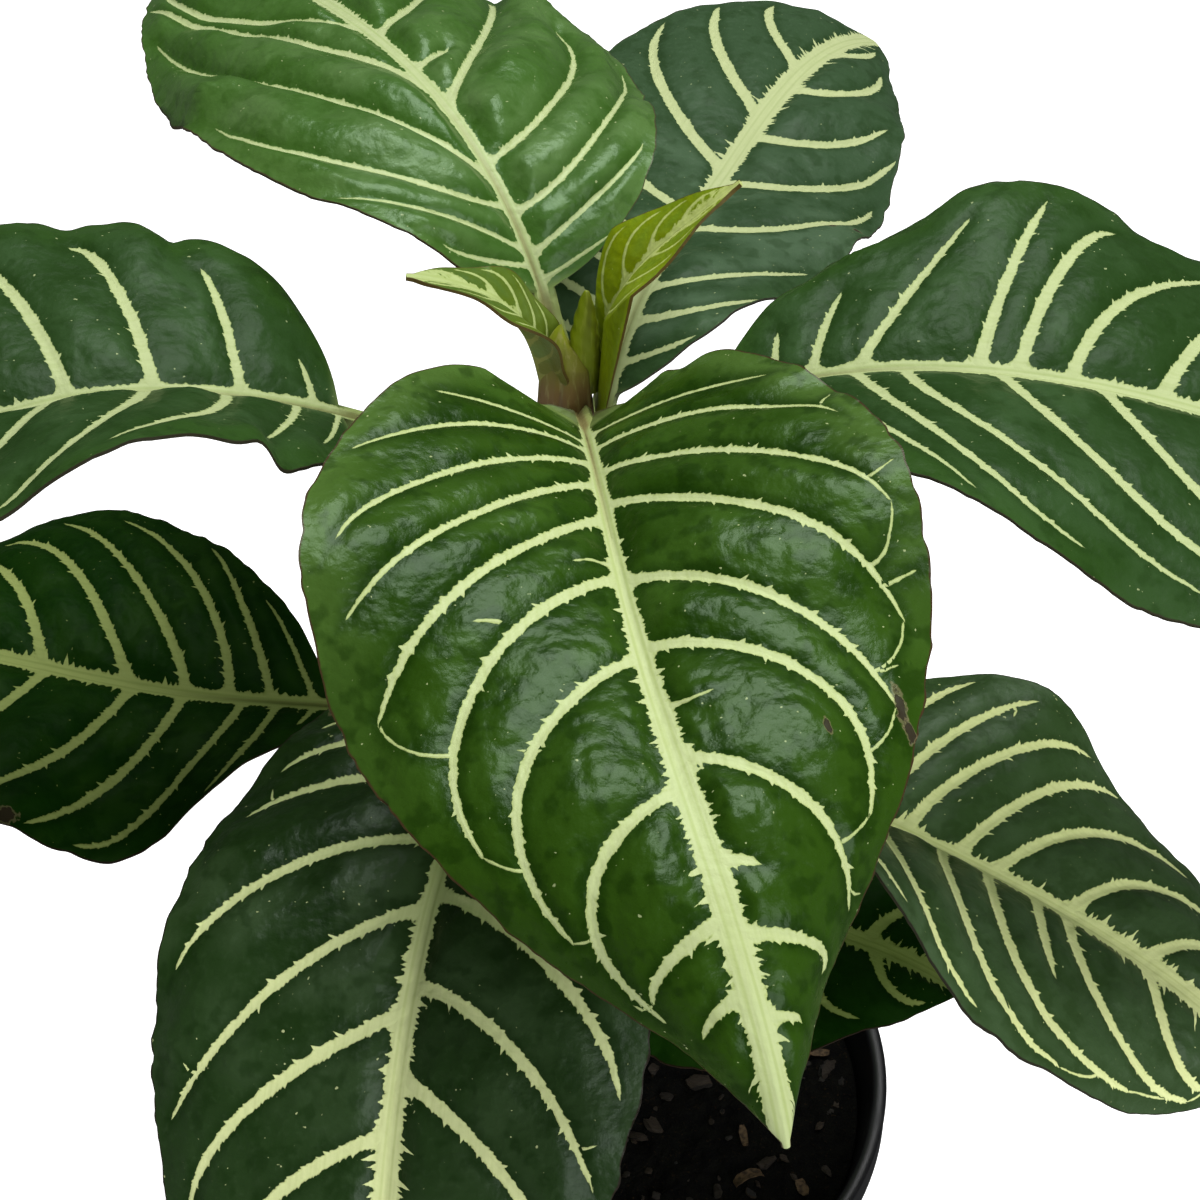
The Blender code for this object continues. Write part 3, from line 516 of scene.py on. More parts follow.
# the points of the blade's middle sheet and their normals; across runs from -1 to 1, and trim
# moves a point outward
def leafPoints(leaf, curve, place, across, lift, trim=0):
    share = np.clip((place * leaf["length"] + leaf["stalk"]) / curve["total"], 0, 1)
    out, hand = np.abs(across), np.sign(across)
    width = halfWidth(leaf, place) * (1 + hand * leaf["lopsided"])
    fold = np.radians(smoothBetween(leaf["fold"], share))
    camber = np.radians(smoothBetween(leaf["camber"], share))
    camber = np.where(np.abs(camber) < 0.001, 0.001, camber)
    slope = fold - camber * out
    sideways = width * (np.sin(fold) - np.sin(slope)) / camber
    height = width * (np.cos(slope) - np.cos(fold)) / camber + lift
    inside = np.clip(place, 0, 1)
    swell, count, start = (np.where(across < 0, *leaf[key]) for key in ("wave", "waves", "waveStart"))
    swell = swell * np.sin(math.pi * inside ** blade["waveEarly"]) * out**2
    height = height + swell * np.sin(2 * math.pi * (count * inside + start))
    read = share * blade["curveSteps"]
    index = np.minimum(read.astype(int), blade["curveSteps"] - 1)
    part = (read - index)[..., None]
    midrib, side, up = (
        curve[key][index] * (1 - part) + curve[key][index + 1] * part
        for key in ("midrib", "side", "up"))
    points = midrib + (hand * (sideways + trim))[..., None] * side + height[..., None] * up
    normals = up * np.cos(slope)[..., None] - side * (hand * np.sin(slope))[..., None]
    return points, normals


# the side veins of a leaf that the photo doesn't show: closer together near the stalk
def usualVeins(count):
    starts = ((np.arange(count) + 0.4) / count) ** 1.4
    return tuple(
        (start, start + 0.72 * start**0.7 * (1 - start), 0.9 - 0.35 * start**3, 0.35, 0.85)
        for start in starts)


# places on the blade laid out flat, in millimetres: out from the midrib, and along it
def laidFlat(leaf, place, across):
    out = across * halfWidth(leaf, place) * (1 + np.sign(across) * leaf["lopsided"])
    return np.stack([out, place * leaf["length"]], axis=-1) / mm


# every side vein as a chain of flat points with its half width, then the thin ones that fork
# from a side vein or join its end to the next side vein
def veinChains(leaf):
    main = {"left": [], "right": []}
    last = blade["veinPoints"] - 1
    steps = np.linspace(0, 1, last + 1)
    for side, veins in main.items():
        hand = -1 if side == "left" else 1
        course = leaf[side] if isinstance(leaf[side], tuple) else usualVeins(leaf[side])
        for start, end, out, lead, hook in course:
            turn = steps * hook * math.pi / 2
            outward = np.sin(turn) / math.sin(turn[-1])
            onward = (1 - np.cos(turn)) / (1 - math.cos(turn[-1]))
            place = start + (end - start) * (lead * outward + (1 - lead) * onward)
            across = hand * np.maximum(out * outward, blade["veinRoot"])
            full = np.interp(start, (0, 0.1, 0.25, 0.7, 1), leaf["look"]["veinWide"])
            half = full * (1 - 0.3 * steps - 0.42 * steps**5)
            veins.append((laidFlat(leaf, place, across), half, True))
    chains = main["left"] + main["right"]
    for side, number, other, share in leaf.get("joins", ()):
        line, following = main[side][number][0], main[side][other][0]
        start, end = line[-1], following[round(share * last)]
        heading = (line[-1] - line[-3]) / np.hypot(*(line[-1] - line[-3]))
        middle = (start + end) / 2 + heading * 0.35 * np.hypot(*(end - start))
        step = np.linspace(0, 1, 7)[:, None]
        curve = start * (1 - step) ** 2 + 2 * middle * step * (1 - step) + end * step**2
        chains.append((curve, np.linspace(*blade["joinWide"], len(step)), False))
    for side, number, share, outward, onward in leaf.get("forks", ()):
        start = main[side][number][0][round(share * last)]
        end = start + (outward * np.sign(start[0]), onward)
        middle = (start + end) / 2 + (0.15 * onward, 0.4)
        chains.append((np.array([start, middle, end]), np.array(blade["forkWide"]), False))
    for spots in leaf.get("twigs", ()):
        place, across = np.array(spots).T
        wide = np.linspace(*blade["twigWide"], len(spots))
        chains.append((laidFlat(leaf, place, across), wide, False))
    return chains


# how far spots are from a chain, with a sign for the side they are on, the run along it and its
# half width there; beyond its ends the chain runs on straight and thins away
def fromChain(spots, chain):
    points, halves, _ = chain
    last = len(points) - 2
    apart = np.full(len(spots), 1e9)
    signed, run, half = np.zeros(len(spots)), np.zeros(len(spots)), np.zeros(len(spots))
    walked = 0.0
    for step in range(last + 1):
        forth = points[step + 1] - points[step]
        long = float(np.hypot(*forth)) + 1e-9
        away = spots - points[step]
        free = away @ forth / long**2
        share = np.clip(free, 0, 1)
        distance = np.hypot(*(away - share[:, None] * forth).T)
        before = np.where(step == 0, np.maximum(-free, 0), 0) * long
        beyond = np.where(step == last, np.maximum(free - 1, 0), 0) * long
        line = (forth[0] * away[:, 1] - forth[1] * away[:, 0]) / long
        side = np.where(before + beyond > 0, line, np.sign(line) * distance)
        wide = halves[step] + (halves[step + 1] - halves[step]) * share - 0.9 * before - 0.4 * beyond
        near = distance < apart
        apart[near], signed[near], half[near] = distance[near], side[near], wide[near]
        run[near] = (walked + share * long - before + beyond)[near]
        walked += long
    return apart, signed, run, half


# the nearest vein of each spot, judged by how far it is from the vein's own edge, and how far
# the two nearest main veins are from it, where the midrib counts as one
def nearestVein(spots, chains):
    nearest, far = np.full(len(spots), -1), np.full(len(spots), 1e9)
    first, second = np.abs(spots[:, 0]), np.full(len(spots), float(blade["veinFarthest"]))
    reach = blade["veinReach"]
    for number, chain in enumerate(chains):
        low, high = chain[0].min(0) - reach, chain[0].max(0) + reach
        inside = np.flatnonzero(((spots > low) & (spots < high)).all(1))
        if len(inside) == 0:
            continue
        apart, _, _, half = fromChain(spots[inside], chain)
        away = apart - np.maximum(half, 0)
        closer = away < far[inside]
        far[inside[closer]] = away[closer]
        nearest[inside[closer]] = number
        if chain[2]:
            leading = apart < first[inside]
            second[inside] = np.where(leading, first[inside], np.minimum(second[inside], apart))
            first[inside] = np.where(leading, apart, first[inside])
    return nearest, first, second


# rows from the stem to the tip that bend forward as the side veins do, and columns across them
def leafGrid(leaf):
    curve = leafCurve(leaf)
    begin = (clearOfStem(leaf, curve) * curve["total"] - leaf["stalk"]) / leaf["length"]
    stalkRows = max(3, int(-begin * leaf["length"] / blade["stalkRow"]))
    bladeRows = np.linspace(0, 1, leaf["rows"] + 1)
    bladeRows = 0.85 * bladeRows**1.6 + 0.15 * bladeRows  # closer together near the stalk
    onStalk = np.linspace(begin, 0, stalkRows)[1:-1]
    starts = np.concatenate([[begin] * blade["seatRows"], onStalk, bladeRows])
    starts = starts[(starts < 0) | (starts > begin + 0.002)]
    half = np.linspace(0, 1, leaf["columns"] + 1) ** 1.15
    across = np.concatenate([-half[:0:-1], half])
    row = np.repeat(starts[:, None], len(across), axis=1)
    across = np.repeat(across[None], len(starts), axis=0)
    inside = np.clip(row, 0, 1)
    place = row + blade["rowReach"] * inside**0.8 * (1 - inside) * np.abs(across) ** blade["rowBend"]
    return curve, row, place, across


# the faces of a thin slab: an upper grid of points, then the lower one
def slabFaces(rows, columns):
    index = np.arange(rows * columns).reshape(rows, columns)
    near, far = index[:-1], index[1:]
    a, b, c, d = (part.ravel() for part in (near[:, :-1], near[:, 1:], far[:, 1:], far[:, :-1]))
    under = rows * columns
    left, right, first, last = index[:, 0], index[:, -1], index[0], index[-1]
    return np.concatenate([
        np.stack([a, d, c, b], 1),
        np.stack([a, b, c, d], 1) + under,
        np.stack([left[:-1], left[:-1] + under, left[1:] + under, left[1:]], 1),
        np.stack([right[:-1], right[1:], right[1:] + under, right[:-1] + under], 1),
        np.stack([first[:-1], first[1:], first[1:] + under, first[:-1] + under], 1),
        np.stack([last[:-1], last[:-1] + under, last[1:] + under, last[1:]], 1),
    ])


# the fine forms of a blade, added to its plain form: what swells between the veins, the wrinkles,
# the uneven edge and the channel along the midrib
def bladeLift(leaf, place, across, flat, edge, fromVein, between, onBlade, scale, seed):
    x, y = flat[..., 0], flat[..., 1]
    wrinkle, ripple, crinkle, uneven = (
        hills(x / blade[size], y / blade[size], seed + count)
        for count, size in enumerate(("wrinkleSize", "rippleSize", "crinkleSize", "puckerSize"), 1))
    calm = onBlade * rise(edge, 0.0, 6.0) * rise(np.abs(x), 1.0, 5.0)
    bulge = 1 - np.exp(-((fromVein / 2.0) ** 1.5))  # flat close to a vein
    lift = blade["pucker"] * between * (1 + blade["puckerUneven"] * uneven) * leaf.get("swell", 1)
    folds = blade["wrinkle"] * wrinkle + blade["ripple"] * np.abs(ripple) + blade["crinkle"] * crinkle
    lift = (lift + bulge * folds) * calm * scale

    sides = np.sign(x) * 3.0  # the two edges have hills of their own
    nearStalk = rise(place, 0.0, 0.03) * (1 - rise(place, 0.12, 0.28))
    ruffles = blade["raggedEdge"] * hills(y / blade["raggedSize"], sides, seed + 5)
    waves = hills(y / blade["ruffleSize"], sides, seed + 6) * onBlade
    ruffles = ruffles + leaf.get("ruffle", blade["ruffle"]) * mm * waves
    waves = hills(y / blade["lobeSize"], sides, seed + 7) * nearStalk
    ruffles = ruffles + leaf.get("lobes", 0) * mm * waves
    for side, middle, high, reach in leaf.get("bumps", ()):
        mine = (across < 0) == (side == "left")
        ruffles = ruffles + mine * high * mm * np.exp(-(((place - middle) / reach) ** 2))
    lift = lift + ruffles * np.abs(across) ** 3 * rise(1 - place, 0.0, 0.08) * scale

    channel = np.exp(-((x / 1.3) ** 2)) * (1 - 0.7 * rise(place, 0, 0.6)) * rise(place, -0.2, 0.05)
    lift = lift - blade["groove"] * channel
    bites, nicks = (hills(y / blade[size], sides, seed + count)
                    for count, size in enumerate(("biteSize", "nickSize"), 8))
    trim = blade["raggedEdge"] * (bites + 0.5 * nicks) * np.abs(across) ** 8 * onBlade * scale
    return lift, trim


def makeLeaf(number, name, leaf, finishes):
    curve, row, place, across = leafGrid(leaf)
    rows, columns = row.shape
    flat = laidFlat(leaf, place, across)
    chains = veinChains(leaf)
    _, first, second = nearestVein(flat.reshape(-1, 2), chains)
    fromVein, second = first.reshape(rows, columns), second.reshape(rows, columns)
    edge = (1 - np.abs(across)) * halfWidth(leaf, place) / mm
    second = np.minimum(second, np.maximum(edge, fromVein))
    between = 2 * fromVein * second / (fromVein + second + 1e-6)
    scale = min(1, leaf["width"] / blade["usualWidth"])
    onBlade = rise(place, 0.0, 0.10) * rise(1 - place, 0.0, 0.12)
    seed = 10 * number
    lift, trim = bladeLift(leaf, place, across, flat, edge, fromVein, between, onBlade, scale, seed)

    # the foot of the stalk turns from the blade's own direction to the stem's face
    points, normals = leafPoints(leaf, curve, place, across, lift, trim)
    seat, turning = seatOnStem(leaf, curve), blade["seatRows"]
    seatPoints, seatNormals = leafPoints(leaf, seat, place[:1], across[:1], lift[:1])
    for step in range(turning):
        share = step / turning
        points[step] = seatPoints[0] * (1 - share) + points[turning] * share
        normals[step] = seatNormals[0] * (1 - share) + normals[turning] * share
    fromRib = np.abs(across) * halfWidth(leaf, place) / blade["ribHalf"]
    thinning = 1 - blade["ribThinning"] * np.clip(place, 0, 1)
    rib = ribDepth(leaf) * thinning * np.clip(1 - fromRib**2, 0, 1)
    sideRibs = np.exp(-((fromVein / 0.8) ** 2)) * onBlade * rise(edge, 0, 8)
    rib = rib + blade["sideRib"] * scale * sideRibs
    upper = points + normals * blade["thickness"] / 2
    lower = points - normals * (blade["thickness"] / 2 + rib)[..., None]
    allPoints = np.concatenate([upper.reshape(-1, 3), lower.reshape(-1, 3)])

    # the underside and the cut of the stalk take the second finish
    cells = (rows - 1) * (columns - 1)
    counts = [cells, cells, rows - 1, rows - 1, columns - 1, columns - 1]
    faces, faceFinish = slabFaces(rows, columns), np.repeat([0, 1, 0, 0, 1, 0], counts)
    piece = addPiece(
        "grown_" + name, allPoints, faces, finishes, name, faceFinish, smooth=70)

    # what the finishes read: for each face its nearest vein, and for each point its place in
    # millimetres on the blade laid out flat, and its share of the blade
    corners = np.concatenate([flat.reshape(-1, 2)] * 2)[faces]
    own, _, _ = nearestVein(corners.mean(1), chains)
    vein = np.zeros((len(faces), 4, 3))
    vein[..., 0] = blade["noVein"]
    for order, chain in enumerate(chains):
        mine = np.flatnonzero(own == order)
        if len(mine):
            _, signed, run, half = fromChain(corners[mine].reshape(-1, 2), chain)
            run = run + blade["chainRun"] * order  # no two veins share the places of their teeth
            vein[mine] = np.stack([signed, run, half], 1).reshape(-1, 4, 3)
    onFlat = np.stack([flat[..., 0], row * leaf["length"] / mm, edge], -1).reshape(-1, 3)
    for label, kind, domain, field, values in (
        ("vein", "FLOAT_VECTOR", "CORNER", "vector", vein),
        ("blade", "FLOAT_VECTOR", "POINT", "vector", np.concatenate([onFlat] * 2)),
        ("along", "FLOAT", "POINT", "value", np.concatenate([place.ravel()] * 2)),
    ):
        layer = piece.data.attributes.new(label, kind, domain)
        layer.data.foreach_set(field, values.ravel().astype(np.float32))


# how each kind of leaf is coloured: all but the young kinds are lit and shaded copies of one leaf
# colour, so their greens, veins and undersides hold painted light and shade. ribWide and veinWide
# are half widths in mm, rimWide is the width of the edge's dark line, and teeth and spikes are the
# spacing in mm of the teeth of the side veins and of the midrib, which stand tooth and spike mm
# tall; the other kinds say only what differs from the shaded one
greenShine = (0.76, 1.0, 0.74, 1.0)
greyShine = (0.88, 1.0, 0.92, 1.0)
leafLooks = {
    # the shaded copy: painted shade, with darker and greyer greens than a lit leaf
    "shaded": dict(
        green=rgb(35, 61, 23), deep=rgb(28, 53, 14), pale=rgb(48, 74, 38), tip=rgb(38, 63, 27),
        cream=rgb(174, 186, 134), creamShade=rgb(148, 164, 100), stalk=rgb(118, 122, 72),
        stalkEdge=rgb(146, 162, 98), edge=rgb(44, 42, 28), under=rgb(86, 112, 66), shine=greyShine,
        gloss=0.11, rough=0.42, margin=rgb(46, 78, 22), marginShare=0.5,
        underVein=rgb(156, 174, 116), ribWide=1.5, rimWide=0.2, veinWide=(0.5, 0.8, 1.05, 1.1, 0.8),
        teeth=0.9, tooth=0.22, spikes=1.0, spike=0.7),
    # the sunlit copy, for the leaf that takes the most light
    "sunlit": dict(
        green=rgb(31, 59, 3), deep=rgb(15, 40, 1), pale=rgb(50, 80, 20), tip=rgb(40, 68, 11),
        cream=rgb(181, 193, 139), creamShade=rgb(154, 170, 97), stalk=rgb(134, 126, 80),
        stalkEdge=rgb(160, 172, 104), edge=rgb(60, 44, 28), under=rgb(96, 124, 70), shine=greenShine,
        gloss=0.19, rough=0.30, margin=rgb(80, 110, 48), marginShare=0.6,
        underVein=rgb(164, 182, 120), ribWide=1.35, rimWide=0.26,
        veinWide=(0.3, 0.55, 0.85, 0.95, 0.75), tooth=0.28, spike=0.8),
    # the bright copy: painted light, with paler greens for a leaf lit from the front
    "bright": dict(
        green=rgb(58, 92, 34), deep=rgb(46, 80, 18), pale=rgb(78, 108, 56), tip=rgb(62, 96, 38),
        cream=rgb(172, 184, 134), creamShade=rgb(148, 166, 102), stalk=rgb(126, 126, 78),
        stalkEdge=rgb(156, 170, 104), edge=rgb(62, 54, 34), under=rgb(100, 128, 74),
        shine=greenShine, gloss=0.3, rough=0.33, margin=rgb(76, 108, 48),
        underVein=rgb(168, 186, 124), ribWide=1.25, veinWide=(0.38, 0.62, 0.85, 0.95, 0.75),
        tooth=0.12, spike=0.35),
    # a bluish grey copy: a painted reflection of the pale room over the whole blade
    "painted_sky_sheen": dict(
        green=rgb(44, 67, 40), deep=rgb(34, 57, 26), pale=rgb(72, 95, 69), tip=rgb(50, 73, 46),
        cream=rgb(174, 184, 134), creamShade=rgb(150, 164, 108), edge=rgb(60, 58, 46), gloss=0.12,
        rough=0.45, margin=rgb(56, 84, 44), marginShare=0.4, ribWide=1.7,
        veinWide=(0.6, 1.0, 1.25, 1.3, 1.0), teeth=1.3, tooth=0.2, spikes=1.2, spike=0.9),
    # the dim copy: painted shade, with darker greens for a leaf that lies under others
    "dim": dict(
        green=rgb(30, 54, 18), deep=rgb(21, 45, 9), pale=rgb(62, 84, 52), tip=rgb(38, 60, 28),
        cream=rgb(222, 231, 168), creamShade=rgb(192, 205, 132), stalkEdge=rgb(160, 174, 106),
        edge=rgb(40, 32, 24), under=rgb(80, 106, 60), gloss=0.2, rough=0.36, margin=rgb(36, 62, 18),
        marginShare=0.4, underVein=rgb(150, 168, 110), rimWide=0.22,
        veinWide=(0.5, 0.7, 0.95, 1.0, 0.75), tooth=0.3, spikes=0.9, spike=1.0),
    # the broad copy: painted light and sheen, with paler greyer greens for a leaf lit from the front
    # right
    "broad": dict(
        green=rgb(52, 78, 38), deep=rgb(43, 67, 28), pale=rgb(76, 100, 66), tip=rgb(57, 81, 46),
        cream=rgb(228, 236, 168), creamShade=rgb(198, 210, 132), stalk=rgb(126, 130, 74),
        stalkEdge=rgb(160, 174, 100), edge=rgb(44, 42, 30), gloss=0.22, margin=rgb(52, 78, 36),
        marginShare=0.3, ribWide=1.6, veinWide=(0.6, 0.9, 1.1, 1.15, 0.85), teeth=1.0, tooth=0.32,
        spikes=1.1, spike=1.3),
    # the dark copy: painted deep shade, with near black greens for the low leaves under the others
    "dark": dict(
        green=rgb(13, 43, 3), deep=rgb(6, 34, 1), pale=rgb(28, 56, 10), tip=rgb(16, 44, 4),
        cream=rgb(144, 156, 92), creamShade=rgb(116, 130, 66), stalk=rgb(84, 92, 46),
        stalkEdge=rgb(120, 134, 76), edge=rgb(34, 26, 18), under=rgb(60, 84, 44), shine=greenShine,
        gloss=0.05, rough=0.5, margin=rgb(20, 50, 4), marginShare=0.4, underVein=rgb(120, 138, 84),
        veinWide=(0.5, 0.8, 1.0, 1.05, 0.8), tooth=0.3, spike=1.2),
    "young": dict(
        green=rgb(92, 112, 26), deep=rgb(80, 98, 14), pale=rgb(98, 120, 54), tip=rgb(62, 92, 42),
        cream=rgb(166, 180, 118), creamShade=rgb(144, 160, 88), stalk=rgb(110, 98, 44),
        stalkEdge=rgb(136, 128, 58), edge=rgb(84, 70, 34), under=rgb(104, 108, 36), shine=greenShine,
        gloss=0.14, rough=0.4, margin=rgb(96, 110, 26), marginShare=0.3, underVein=rgb(134, 136, 62),
        ribWide=0.42, rimWide=0.09, veinWide=(0.24, 0.3, 0.38, 0.34, 0.22), teeth=0.7, tooth=0.1,
        spikes=0.8, spike=0.25),
    "opening": dict(
        green=rgb(136, 154, 6), deep=rgb(118, 134, 2), pale=rgb(148, 164, 44), tip=rgb(104, 132, 30),
        cream=rgb(186, 198, 120), creamShade=rgb(160, 174, 88), stalk=rgb(118, 112, 40),
        stalkEdge=rgb(140, 136, 52), edge=rgb(90, 74, 34), under=rgb(120, 122, 32), shine=greenShine,
        gloss=0.14, rough=0.4, margin=rgb(128, 140, 24), marginShare=0.3,
        underVein=rgb(148, 150, 66), ribWide=0.42, rimWide=0.09,
        veinWide=(0.22, 0.27, 0.33, 0.3, 0.2), teeth=0.7, tooth=0.1, spikes=0.8, spike=0.25),
}
# which lit or shaded copy each leaf takes; the others take the shaded one
lookOf = {
    "leaf_top_front": "sunlit", "leaf_top_back": "bright", "leaf_middle_front": "dim",
    "leaf_middle_back": "painted_sky_sheen", "leaf_lower_right": "broad", "leaf_lower_left": "dark",
    "leaf_bottom_right": "dark", "leaf_bottom_left": "dark", "young_leaf_left": "young",
    "young_leaf_right": "opening",
}


veinPaint = dict(
    fray=0.9 * mm, uneven=3.5 * mm, blend=2.4, soft=(-0.06, 0.08),
    # small and big teeth: spacing and height beside the look's own, half width in mm, how rare a
    # tall one is, and a shift along the vein, so that the two don't stand together
    teeth=((1, 1, 0.4, 1.2, 0), (4.1, 3.2, 0.42, 2.2, 500)), teethLean=0.6, teethApart=37.0,
    spikes=((1, 1, 0.42, 1.2, 0), (4.7, 2.2, 0.55, 1.7, 300)), spikesApart=61.0,
)


# how tall the teeth stand at a place along a line: uneven marks, each with a height of its own
def thorns(paint, line, spacing, tall, kinds):
    heights = []
    for rarer, taller, half, bias, shift in kinds:
        far, chance = paint.marks(line + shift if shift else line, spacing * rarer)
        slope = paint.maths("MAXIMUM", 1 - far / half, 0)
        heights.append(slope * chance**bias * (tall * taller))
    small, big = heights
    return small + big


# how much of each spot is vein, how far inside the veins it lies with and without their teeth,
# and the places that were read for it
def veinMasks(paint, look):
    fromVein = paint.read("vein", "X")
    run = paint.read("vein", "Y")
    half = paint.read("vein", "Z")
    out = paint.read("blade", "X")
    onRow = paint.read("blade", "Y")
    along = paint.read("along")
    place = paint.place()
    fray = paint.noise(place, veinPaint["fray"], 3.0) - 0.5

    # side veins: small teeth that lean toward the tip, uneven in height, with a big one here and there
    lean = run - abs(fromVein) * veinPaint["teethLean"] + (fromVein > 0) * veinPaint["teethApart"]
    teeth = thorns(paint, lean, look["teeth"], look["tooth"], veinPaint["teeth"])
    firm = paint.ramp(half, 0.22, 0.6)
    uneven = (paint.noise(place, veinPaint["uneven"], 1.0) - 0.5) * 0.5
    reach = half + (teeth + uneven) * firm + fray * (0.35 + firm * 0.25)
    veinEdge = reach - abs(fromVein)

    # midrib: a band with long thorns that run along the rows, wider and wilder toward the tip
    rowLine = onRow + (out > 0) * veinPaint["spikesApart"]
    wild = 0.35 + paint.ramp(along, 0.1, 0.75) * 0.9
    spike = thorns(paint, rowLine, look["spikes"], look["spike"], veinPaint["spikes"])
    bandWide = look["ribWide"] + paint.ramp(along, 0.3, 0.8) * 0.6 + uneven * 0.7
    ribEdge = bandWide + spike * wild + fray * (0.5 + wild) - abs(out)
    joined = paint.maths("SMOOTH_MAX", veinEdge, ribEdge, veinPaint["blend"])
    plain = paint.maths("MAXIMUM", half - abs(fromVein), bandWide - abs(out))  # without the teeth
    return paint.ramp(joined, *veinPaint["soft"]), joined, plain, out, along, place


leafPaint = dict(
    patches=14 * mm, mottle=4.2 * mm, creases=2.6 * mm, fine=1.2 * mm, flecks=0.9 * mm,
    mottleShare=0.5, paintedShadeBesideVein=0.55, fleckShare=0.6, bumpDeep=0.3 * mm, bump=0.9,
    underPatches=9 * mm, underGrain=0.6 * mm, underBump=0.1 * mm, underGloss=0.4, underRough=0.5,
    scarRim=rgb(120, 112, 80), scarDry=rgb(40, 32, 24),
)


def leafTopFinish(name, leaf):
    look = leaf["look"]
    paint = Finish(name, Specular_IOR_Level=look["gloss"], Specular_Tint=look["shine"])
    mask, joined, plain, out, along, place = veinMasks(paint, look)
    edge = paint.read("blade", "Z")
    patches = paint.noise(place, leafPaint["patches"], 2.0)
    creases = paint.noise(place, leafPaint["creases"], 1.0)
    fine = paint.noise(place, leafPaint["fine"], 2.0)
    green = paint.mix(paint.ramp(patches, 0.38, 0.68), look["green"], look["pale"])
    green = paint.mix(paint.ramp(along, 0.3, 0.75), green, look["tip"])
    # a paler edge near the stalk: partly the leaf's own yellower edge, partly painted light on the
    # lobes there that face the lamp
    margin = paint.ramp(edge + (patches - 0.5) * 12, 11, 1) * paint.ramp(along, 0.62, 0.22)
    green = paint.mix(margin * look["marginShare"], green, look["margin"])
    mottle = paint.ramp(paint.noise(place, leafPaint["mottle"], 2.0), 0.5, 0.64)
    green = paint.mix(mottle * leafPaint["mottleShare"], green, look["deep"])
    # painted shade: the blade darker green beside the veins, where it dips toward them
    beside = paint.ramp(plain, -2.2, -0.1)
    green = paint.mix(beside * leafPaint["paintedShadeBesideVein"], green, look["deep"])
    green = paint.mix(paint.ramp(fine, 0.5, 0.8) * 0.2, green, look["pale"])
    fleck = paint.ramp(paint.noise(place, leafPaint["flecks"], 1.0), 0.76, 0.80)
    green = paint.mix(fleck * leafPaint["fleckShare"], green, look["cream"])

    streak = paint.noise(paint.vector(out * 0.0015, along * 0.012, 0.0), 1 * mm, 2.0)
    cream = paint.mix(paint.ramp(streak, 0.35, 0.75) * 0.3, look["cream"], look["creamShade"])
    # painted shade on the midrib's flanks, either side of its pale raised middle, and along every
    # vein's edge
    ribFlankShade = paint.ramp(abs(abs(out) - 0.75), 0.35, 0.05)
    cream = paint.mix(ribFlankShade * 0.45, cream, look["creamShade"])
    cream = paint.mix(paint.ramp(joined, 0.35, 0.0) * 0.7, cream, look["creamShade"])
    groove = paint.ramp(abs(out), 0.85, 0.2) * paint.ramp(along, 0.36, 0.02)
    cream = paint.mix(groove * 0.85, cream, look["stalk"])
    colour = paint.mix(mask, green, cream)

    onStalk = paint.ramp(along, 0.015, -0.02)
    stalk = paint.mix(paint.ramp(abs(out), 1.6, 0.7), look["stalkEdge"], look["stalk"])
    colour = paint.mix(onStalk, colour, stalk)
    rim = paint.ramp(edge + (fine - 0.5) * 0.3, look["rimWide"] * 1.5, look["rimWide"] * 0.5)
    colour = paint.mix(rim * (1 - onStalk), colour, look["edge"])
    rough = look["rough"] + mask * 0.14 + (fine - 0.5) * 0.16
    height = creases + fine * 0.45 + paint.ramp(plain, -0.1, 0.5) * 0.25

    # dry brown scars, each with a cracked pale rim
    for share, across, size, stretch in leaf.get("scars", ()):
        middle = laidFlat(leaf, np.array(share), np.array(across))
        aside = (out - float(middle[0])) / size
        onward = (along * (leaf["length"] / mm) - float(middle[1])) / (size * stretch)
        far = (aside**2 + onward**2) ** 0.5 + (creases - 0.5) * 1.2 + (fine - 0.5) * 1.6
        colour = paint.mix(paint.ramp(far, 1.35, 1.1) * 0.5, colour, leafPaint["scarRim"])
        dry = paint.ramp(far, 1.05, 0.8)
        colour = paint.mix(dry * 0.92, colour, leafPaint["scarDry"])
        rough = rough + dry * 0.3
        height = height - dry * 0.8
    bump = paint.bump(height, leafPaint["bumpDeep"], leafPaint["bump"])
    paint.wear(Base_Color=colour, Roughness=rough, Normal=bump)
    return paint


def leafUnderFinish(name, look):
    paint = Finish(name, Specular_IOR_Level=leafPaint["underGloss"])
    mask, _, _, _, _, place = veinMasks(paint, look)
    patches = paint.noise(place, leafPaint["underPatches"], 3.0)
    green = paint.mix(paint.ramp(patches, 0.3, 0.7), look["under"], look["pale"])
    colour = paint.mix(mask * 0.8, green, look["underVein"])
    grain = paint.cells(place, leafPaint["underGrain"])
    bump = paint.bump(grain, leafPaint["underBump"], 0.5)
    paint.wear(Base_Color=colour, Roughness=leafPaint["underRough"] + grain * 0.1, Normal=bump)
    return paint


def makeLeaves():
    looks = {kind: {**leafLooks["shaded"], **own} for kind, own in leafLooks.items()}
    # the undersides come as the same lit and shaded copies
    unders = {kind: leafUnderFinish(kind + "_leaf_under", look) for kind, look in looks.items()}
    for number, (name, leaf) in enumerate(leaves.items()):
        kind = lookOf.get(name, "shaded")
        leaf["slot"] = "young_leaf" if kind in ("young", "opening") else "leaf"
        leaf["look"] = looks[kind]
        makeLeaf(number, name, leaf, [leafTopFinish(name + "_top", leaf), unders[kind]])
    print("leaves made:", len(leaves))


